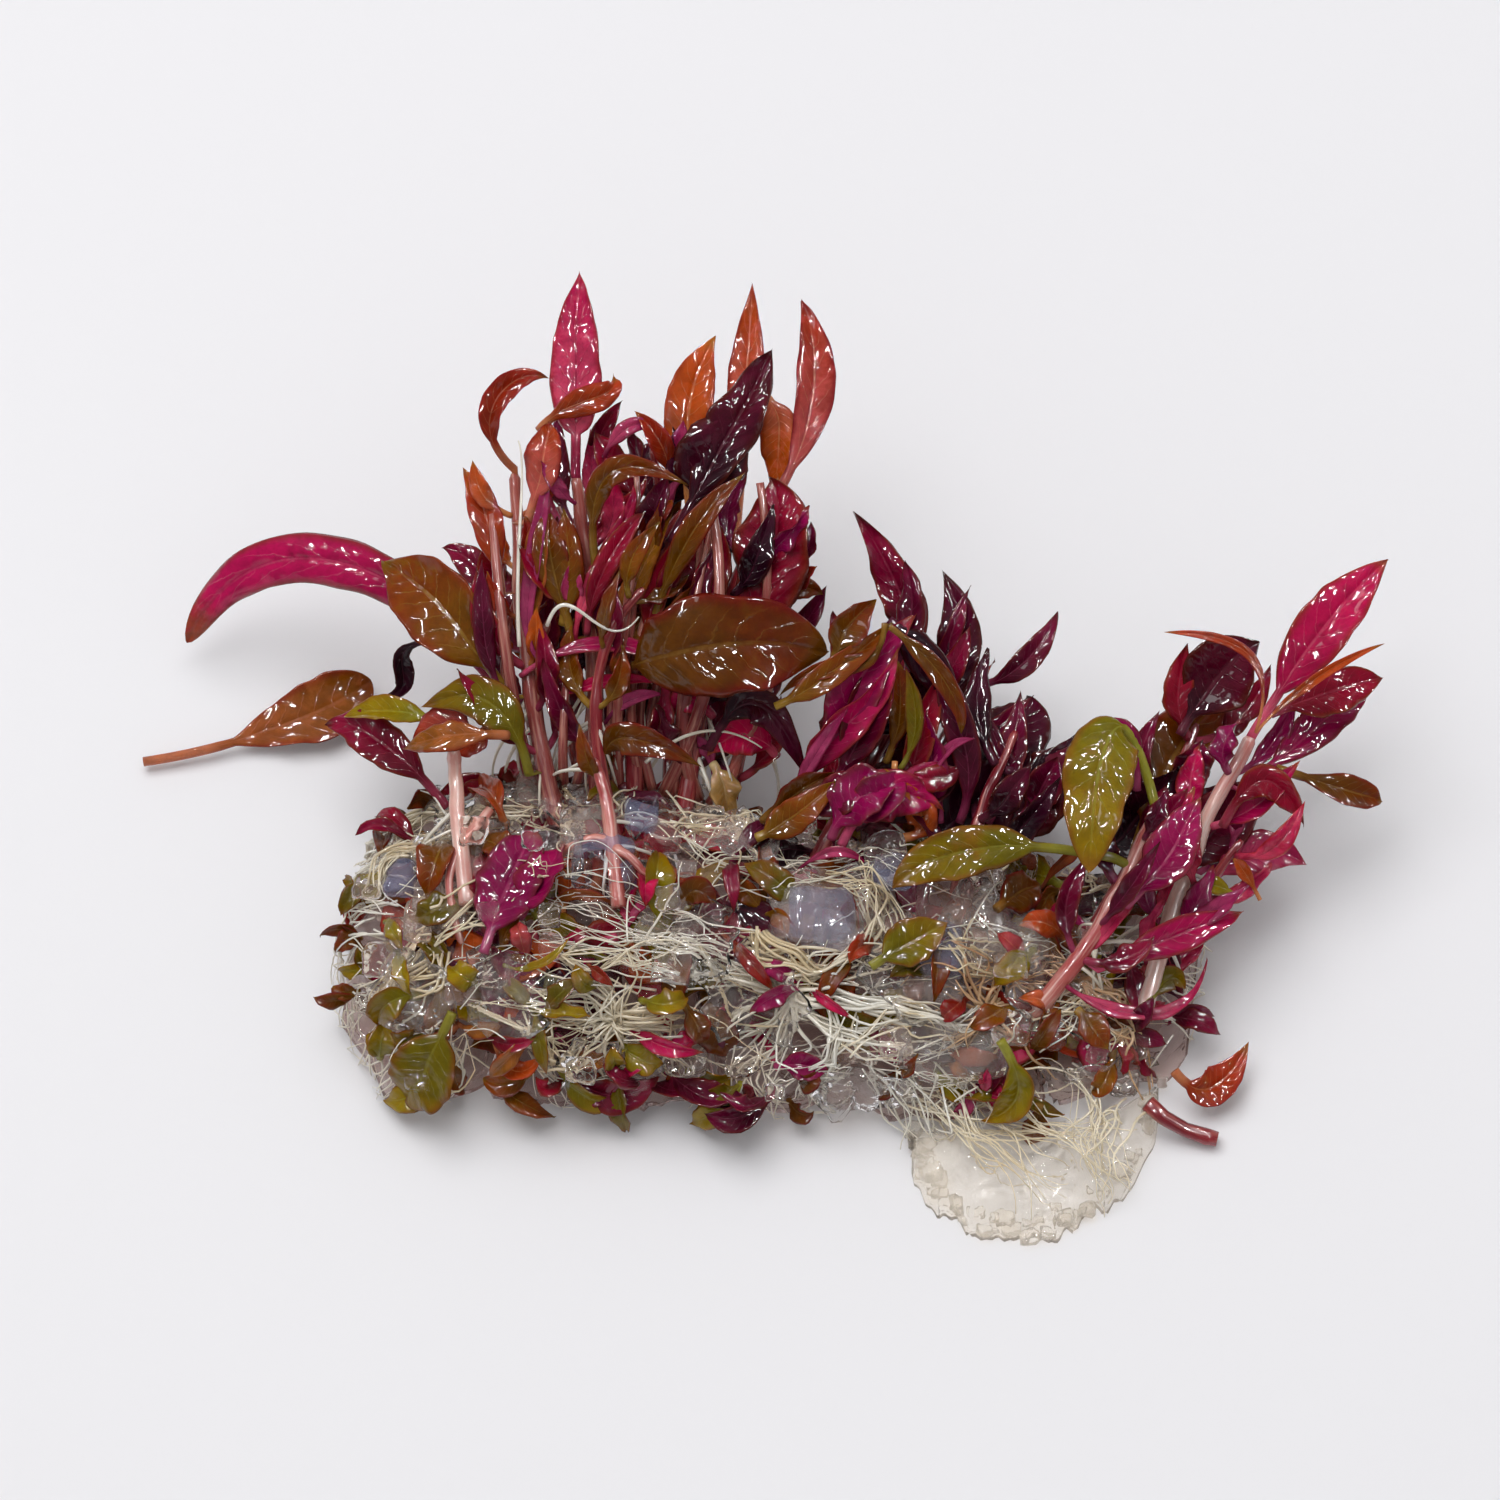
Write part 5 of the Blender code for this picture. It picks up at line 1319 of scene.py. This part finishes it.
# Sprouts
# All over the strip, tiny shoots have pushed through its skin. Each has one to three narrow folded blades
# that lie along the jelly or stick up a little from it.
def sprouts(name, material, count, length, width, along=(-41, 34), rise=(0.06, 0.8)):
    """Tiny shoots of one colour, scattered over the strip."""
    dice = random.Random(name)
    points, faces, marks = [], [], []
    for _ in range(count):
        x, a = dice.uniform(*along), dice.uniform(*rise)
        foot = on_jelly(x, a, -1.2 if a < 0.12 else -2.4)
        outward = (on_jelly(x, a, 1) - on_jelly(x, a, 0)).normalized()
        level = Vector((1, 0, 0))
        up_skin = outward.cross(level)
        for _ in range(dice.choice((1, 2, 2, 3))):
            turn = dice.uniform(0, 2 * math.pi)
            way = level * math.cos(turn) + up_skin * math.sin(turn) + outward * dice.uniform(0.15, 0.5)
            way.normalize()
            reach = length * dice.uniform(0.6, 1.2)
            droop = Vector((0, 0, -reach * dice.uniform(0.0, 0.3)))
            course = [foot, foot + way * reach * 0.5 + outward * 0.25 * reach, foot + way * reach + droop]
            if min(p.z for p in course) < 0.5 and course[2].z < 0.7:
                continue
            add_leaf(points, faces, marks, course, width * dice.uniform(0.7, 1.25),
                     roll=dice.uniform(-40, 40), twist=dice.uniform(-60, 60), fold=dice.uniform(14, 42),
                     stalk=0.15, taper=dice.uniform(0.8, 1.1), wave=dice.uniform(0.0, 0.3),
                     curl=dice.uniform(-0.3, 0.4), tone=dice.random(), detail=COARSE)
    return leaf_piece(name, points, faces, marks, material)


sprouts("sprouts_olive", OLIVE, 9, 6.0, 1.9)
sprouts("sprouts_bronze", BRONZE, 10, 6.0, 1.9)
sprouts("sprouts_rust", RUST, 8, 6.0, 1.7)
sprouts("sprouts_wine", WINE_RED, 8, 6.5, 1.8)
sprouts("sprouts_magenta", MAGENTA, 3, 5.0, 1.6)
sprouts("sprouts_rose", ROSE_PINK, 5, 5.5, 1.3)
sprouts("toe_sprouts_olive", OLIVE, 7, 6.0, 2.6, (-40, -4), (0.02, 0.12))
sprouts("toe_sprouts_bronze", BRONZE, 8, 6.5, 2.6, (-40, 4), (0.02, 0.12))
sprouts("toe_sprouts_wine", WINE_RED, 7, 7.0, 2.6, (-36, 8), (0.02, 0.1))
sprouts("left_end_sprouts_olive", OLIVE, 3, 4.0, 1.8, (-42, -40), (0.15, 0.6))
sprouts("left_end_sprouts_bronze", BRONZE, 3, 4.0, 1.8, (-42, -40), (0.15, 0.6))
sprouts("right_end_sprouts", WINE_RED, 4, 5.0, 1.8, (34, 37), (0.1, 0.6))
sprouts("back_sprouts_olive", OLIVE, 5, 6.0, 2.2, (-38, 30), (0.82, 0.96))
sprouts("back_sprouts_bronze", BRONZE, 7, 6.0, 2.2, (-38, 30), (0.82, 0.96))
sprouts("back_sprouts_wine", WINE_RED, 7, 6.5, 2.2, (-38, 30), (0.82, 0.96))

# Roots
# Fine roots, white when new and cream later. They run in bundles over the jelly and through its skin, fan
# out from crowns, and hang over its edges in a fringe.
cream_root = flesh_finish("cream_root", (232, 214, 176), (250, 242, 222), (255, 253, 246), 0.4, 0.5)
white_root = flesh_finish("white_root", (240, 232, 214), (252, 249, 240), (255, 255, 252), 0.35, 0.5)
tan_root = flesh_finish("tan_root", (206, 160, 118), (230, 196, 152), (246, 226, 194), 0.3, 0.5)
ROOT_STEP = 0.7
ROOT_SIDES = 5

jelly_mesh = bmesh.new()
for body in jelly_bodies:
    jelly_mesh.from_mesh(body.data)
jelly_tree = BVHTree.FromBMesh(jelly_mesh)
jelly_mesh.free()


def over_jelly(spot, lift):
    """The point at this height over the finely shaped jelly nearest to spot."""
    near, normal, _, _ = jelly_tree.find_nearest(spot * MM)
    kept = near / MM + normal * lift
    kept.z = max(kept.z, 0.25)
    return kept


def smoothed(path, times):
    """A path with its corners rounded off and its ends kept."""
    for _ in range(times):
        inner = [(path[i - 1] + path[i] * 2 + path[i + 1]) / 4 for i in range(1, len(path) - 1)]
        path = [path[0], *inner, path[-1]]
    return path


def add_root(points, faces, marks, path, thick):
    """Adds one root, fine at its far end."""
    last = len(path) - 1
    radii = [thick * (1 - 0.65 * (k / last) ** 1.5) for k in range(last + 1)]
    add_tube(points, faces, marks, path, radii, ROOT_SIDES)


def wander(run, seed):
    """How a root strays to all sides, by how far it has run."""
    return Vector([noise.noise(Vector((run, seed, way))) for way in (0, 7, 13)])


def add_bundle(points, faces, marks, dice, course, count, spread, thick, arch=0.6, stray=1.2, lift=0.35):
    """Adds roots that run together along course over the jelly, spread apart by this much at its two ends."""
    for _ in range(count):
        guide = []
        for i, spot in enumerate(course):
            apart = spread[0] + (spread[1] - spread[0]) * i / (len(course) - 1)
            guide.append(Vector(spot) + Vector([dice.gauss(0, apart) for _ in range(3)]))
        cut = dice.uniform(0.7, 1.0)
        length = sum((guide[i + 1] - guide[i]).length for i in range(len(guide) - 1)) * cut
        steps = max(6, round(length / ROOT_STEP))
        seed = dice.uniform(0, 99)
        height = dice.uniform(0, arch)
        own_lift = lift + dice.uniform(-0.5, 1.1)
        path = []
        for k in range(steps + 1):
            t = k / steps
            strayed = wander(length * t * 0.22, seed) * stray * min(1, 3 * t)
            arched = own_lift + height * math.sin(math.pi * t)
            path.append(over_jelly(through(guide, t * cut) + strayed, arched))
        add_root(points, faces, marks, smoothed(path, 3), thick * dice.uniform(0.6, 1.25))


def add_crown(points, faces, marks, dice, middle, reach, count, thick, arch=1.5, squeeze=0.6):
    """Adds a crown of roots that curve out from middle in all directions over the jelly."""
    for i in range(count):
        turn = 2 * math.pi * (i + dice.uniform(-0.4, 0.4)) / count
        length = reach * dice.uniform(0.4, 1.1)
        way = Vector((math.cos(turn), -squeeze * math.sin(turn), -0.8 * math.sin(turn)))
        bend = Vector([dice.uniform(-0.35, 0.35) * length for _ in range(3)])
        end = middle + way * length
        course = (middle, middle.lerp(end, 0.5) + bend, end)
        add_bundle(points, faces, marks, dice, course, 1, (0.25, 0.5), thick, arch)


def roots(name, flesh, seed, crowns=(), bundles=(), stands_for=()):
    """One piece of roots, from its crowns and its bundles."""
    dice = random.Random(seed)
    points, faces, marks = [], [], []
    for crown in crowns:
        add_crown(points, faces, marks, dice, *crown)
    for bundle in bundles:
        add_bundle(points, faces, marks, dice, *bundle)
    return strands(name, points, faces, marks, flesh, "root", stands_for)


roots("bush_root_spread", cream_root, 3, stands_for=["roots_bush"],
      crowns=[(on_jelly(-16.3, 0.23, 0.3), 9, 46, 0.17, 2.0), (on_jelly(-20, 0.16, 0.3), 6, 20, 0.14),
              (on_jelly(-11.5, 0.17, 0.3), 6, 20, 0.15)],
      bundles=[(on_skin((-16, 0.24, 0.4), (-22, 0.29, 0.4), (-28, 0.28, 0.4)), 14, (0.6, 1.4), 0.13),
               (on_skin((-16, 0.22, 0.4), (-10, 0.25, 0.4), (-5, 0.21, 0.4)), 12, (0.6, 1.2), 0.14)])
roots("middle_root_spread", white_root, 5, stands_for=["roots_middle"],
      crowns=[(on_jelly(-0.8, 0.29, 0.4), 10, 34, 0.19, 1.8)],
      bundles=[(on_skin((-1, 0.29, 0.4), (8, 0.31, 0.4), (16, 0.29, 0.4), (20, 0.38, 0.4)), 16,
                (0.5, 1.0), 0.2),
               (on_skin((-1, 0.29, 0.4), (-4, 0.2, 0.4), (-8, 0.06, 0.4)), 16, (0.5, 1.3), 0.17),
               (on_skin((-1, 0.3, 0.4), (-12, 0.37, 0.4), (-23, 0.45, 0.4)), 16, (0.8, 2.2), 0.12),
               (on_skin((-1, 0.31, 0.4), (-10, 0.42, 0.4), (-26, 0.49, 0.4)), 10, (0.8, 1.8), 0.11),
               (on_skin((5, 0.3, 0.4), (4, 0.18, 0.4), (1, 0.04, 0.4)), 10, (0.8, 1.5), 0.15),
               (on_skin((0, 0.28, 0.4), (9, 0.21, 0.4), (13, 0.24, 0.4)), 8, (0.5, 1.5), 0.16)])
roots("right_root_spread", tan_root, 8, stands_for=["roots_right"],
      crowns=[(on_jelly(19.4, 0.34, 0.4), 9, 30, 0.16, 1.5), (on_jelly(27.5, 0.42, 0.4), 6, 22, 0.16, 1.6)],
      bundles=[(on_skin((27.5, 0.42, 0.4), (31.5, 0.3, 0.4), (32, 0.08, 0.4)), 18, (0.5, 1.4), 0.2),
               (on_skin((29, 0.34, 0.4), (32.5, 0.31, 0.8), (29, 0.22, 0.4)), 6, (0.3, 0.5), 0.19),
               (on_skin((19, 0.33, 0.4), (17, 0.25, 0.4), (13, 0.2, 0.4)), 9, (0.5, 1.2), 0.15),
               (on_skin((27, 0.44, 0.4), (22, 0.42, 0.4), (18, 0.36, 0.4)), 9, (0.5, 1.2), 0.15)])
roots("root_loop", cream_root, 14,
      bundles=[(on_skin((-4, 0.43, 0.5), (2, 0.36, 0.5), (8.5, 0.44, 0.5), (7, 0.56, 0.5),
                 (3.5, 0.61, 0.5)), 22, (0.5, 0.7), 0.17),
               (on_skin((-14.5, 0.68, 0.5), (-10, 0.62, 0.5), (-6.5, 0.58, 0.5)), 3, (0.3, 0.6), 0.14),
               (on_skin((-5.5, 0.8, 0.5), (-4, 0.62, 0.5), (-5, 0.49, 0.5)), 4, (0.3, 0.8), 0.15),
               (on_skin((-21.5, 0.78, 0.5), (-20.5, 0.66, 0.5), (-18, 0.54, 0.5)), 5, (0.4, 0.9), 0.17)])
roots("left_root_fan", cream_root, 17,
      bundles=[(on_skin((-31, 0.8, 0.5), (-36, 0.84, 0.5), (-41, 0.86, 0.5)), 30, (0.7, 1.6), 0.17),
               (on_skin((-34, 0.72, 0.5), (-38, 0.62, 0.5), (-41, 0.52, 0.5)), 20, (0.5, 1.2), 0.17),
               (on_skin((-34, 0.4, 0.5), (-38, 0.3, 0.5), (-41, 0.16, 0.5)), 20, (1.0, 1.8), 0.13),
               (on_skin((-31, 0.76, 0.8), (-26, 0.7, 1.0), (-21, 0.72, 0.8)), 16, (1.0, 1.6), 0.12)])
roots("hair_roots", white_root, 23,
      bundles=[(on_skin((x, a, 0.4), (x + dx / 2, a + 0.03, 0.4), (x + dx, a, 0.4)), 11, (1.6, 2.6), 0.075)
               for x, a, dx in ((-36, 0.5, 9), (-30, 0.35, 10), (-22, 0.5, 10), (-14, 0.4, 10),
                                (-8, 0.55, 10), (0, 0.55, 10), (8, 0.4, 10), (10, 0.6, 10), (18, 0.5, 9),
                                (22, 0.3, 9), (28, 0.45, 8), (-20, 0.1, 9), (-4, 0.12, 10), (8, 0.14, 10))])
roots("root_mats", cream_root, 43,
      bundles=[(on_skin((x, a, 0.9), (x + dx / 2, a + da, 1.3), (x + dx, a - da, 0.7)), 12, (0.9, 1.8), 0.12)
               for x, a, dx, da in ((-34, 0.44, 9, 0.05), (-27, 0.24, 10, -0.04), (-20, 0.36, 12, 0.03),
                                    (-6, 0.36, 11, -0.05), (6, 0.24, 11, 0.04), (15, 0.44, 11, -0.04),
                                    (24, 0.3, 8, 0.05), (-10, 0.66, 9, 0.03))]
               + [(on_skin((-32, 0.42, 2.6), (-26, 0.51, 3.4), (-20, 0.48, 2.4)), 8, (0.8, 1.4), 0.12,
                   0.4, 1.0, 2.6),
                  (on_skin((-36, 0.2, 2.6), (-33, 0.13, 3.4), (-29, 0.2, 2.4)), 6, (0.8, 1.4), 0.12,
                   0.4, 1.0, 2.4)])
roots("end_fringe", white_root, 53,
      bundles=[(((-38, y, 9), (-43.5, y + 1, 5), (-45.5, y + dy, 0.6)), 12, (1.2, 1.6), 0.11)
               for y, dy in ((-5, -3), (0, -1), (5, 1), (10, 3), (14, 3))]
               + [(((34, y, 6), (38.5, y, 3), (40, y + 1, 0.6)), 10, (1.0, 1.4), 0.11)
                  for y in (-4, 0, 4, 8)])
roots("back_fringe", cream_root, 59,
      bundles=[(on_skin((x, 0.72, 0.4), (x + dx / 2, 0.86, 0.7), (x + dx, 0.99, 0.6)), 12, (1.4, 1.8), 0.11)
               for x, dx in ((-37, -2), (-30, 3), (-23, -2), (-16, 2), (-9, -3), (-2, 2), (6, -2), (13, 3),
                             (20, -2), (28, 2))])
roots("toe_fringe", white_root, 47,
      bundles=[(on_skin((x, 0.14, 0.3), (x + dx / 2, 0.06, 0.8), (x + dx, 0.0, 1.6)), 9, (0.9, 1.3), 0.11)
               for x, dx in ((-40, -2), (-36, -4), (-31, -2), (-24, 3), (-17, -2), (-10, 2), (-3, 3),
                             (4, -2), (8, 3), (12, 2), (16, -2))])
roots("tail_roots", cream_root, 29,
      bundles=[(((13, -10, 2.5), (20, -17, 4), (26, -20, 1.5)), 22, (1.8, 2.0), 0.12),
               (((30, -12, 3), (29, -17, 4), (32, -21, 1)), 18, (1.6, 1.8), 0.12),
               (((16, -13, 3), (24, -14, 5.5), (31, -17, 3)), 18, (1.6, 2.0), 0.11)])

# Roots inside the jelly
# The same roots run on through the clear jelly and show in it as pale threads.
SEALED_ROOTS = 150
SEALED_STEPS = 16
dice = random.Random(31)
points, faces, marks = [], [], []
for _ in range(SEALED_ROOTS):
    x, a, depth = dice.uniform(-40, 36), dice.uniform(0.12, 0.85), dice.uniform(0.5, 4.0)
    start = on_jelly(x, a, -depth)
    way = Vector((dice.uniform(-1, 1), dice.uniform(-0.6, 0.6), dice.uniform(-0.6, 0.4)))
    way.normalize()
    length = dice.uniform(4, 11)
    seed = dice.uniform(0, 99)
    path = []
    for k in range(SEALED_STEPS + 1):
        t = k / SEALED_STEPS
        path.append(start + way * length * t + wander(length * t * 0.25, seed) * 2.0 * t)
    if min(p.z for p in path) > 0.6 and min(p.x for p in path) > -42 and max(p.x for p in path) < 37:
        add_root(points, faces, marks, path, dice.uniform(0.09, 0.16))
strands("sealed_roots", points, faces, marks, white_root, "root")

# Roots of the stems
# Young roots leave the stems above the jelly and bend down into it, and a few long ones hang loose in the
# bush.
LOOSE_ROOTS = (((-25.3, 25.7, 22.2), (-25.3, 32.8, 26.6), (-25, 38.9, 29.5), (-25.4, 43, 30.8)),
               ((-22.4, 26.2, 25.5), (-19.9, 27, 27.8), (-17.1, 26, 25.5), (-13.8, 26.9, 25.9)),
               ((-13.7, 17.3, 14.6), (-8.1, 19.7, 16.4), (-2.7, 18.5, 15.3)))
LOOSE_STEPS = 30
YOUNG_STEPS = 18
YOUNG_ROOTS = 8
dice = random.Random(37)
points, faces, marks = [], [], []
for course in LOOSE_ROOTS:
    add_root(points, faces, marks, [through(course, k / LOOSE_STEPS) for k in range(LOOSE_STEPS + 1)], 0.2)
for route in (TALL, WINY, RED, DARK, BUSH_LOW, BUSH_RIGHT, MIDDLE, MIDDLE_LOW, ROSE, PALE, LEFT_FRONT, FRONT):
    for _ in range(YOUNG_ROOTS):
        start = through(route, dice.uniform(0.05, 0.4))
        out = Vector((dice.uniform(-1, 1), dice.uniform(-1, 0.3), 0)) * dice.uniform(3, 7)
        end = over_jelly(start + out - Vector((0, 0, 8)), -0.3)
        middle = start.lerp(end, 0.5) + out * 0.35 + Vector((0, 0, dice.uniform(0.5, 2)))
        path = [through((start, middle, end), k / YOUNG_STEPS) for k in range(YOUNG_STEPS + 1)]
        add_root(points, faces, marks, path, dice.uniform(0.13, 0.24))
strands("stem_roots", points, faces, marks, white_root, "root")
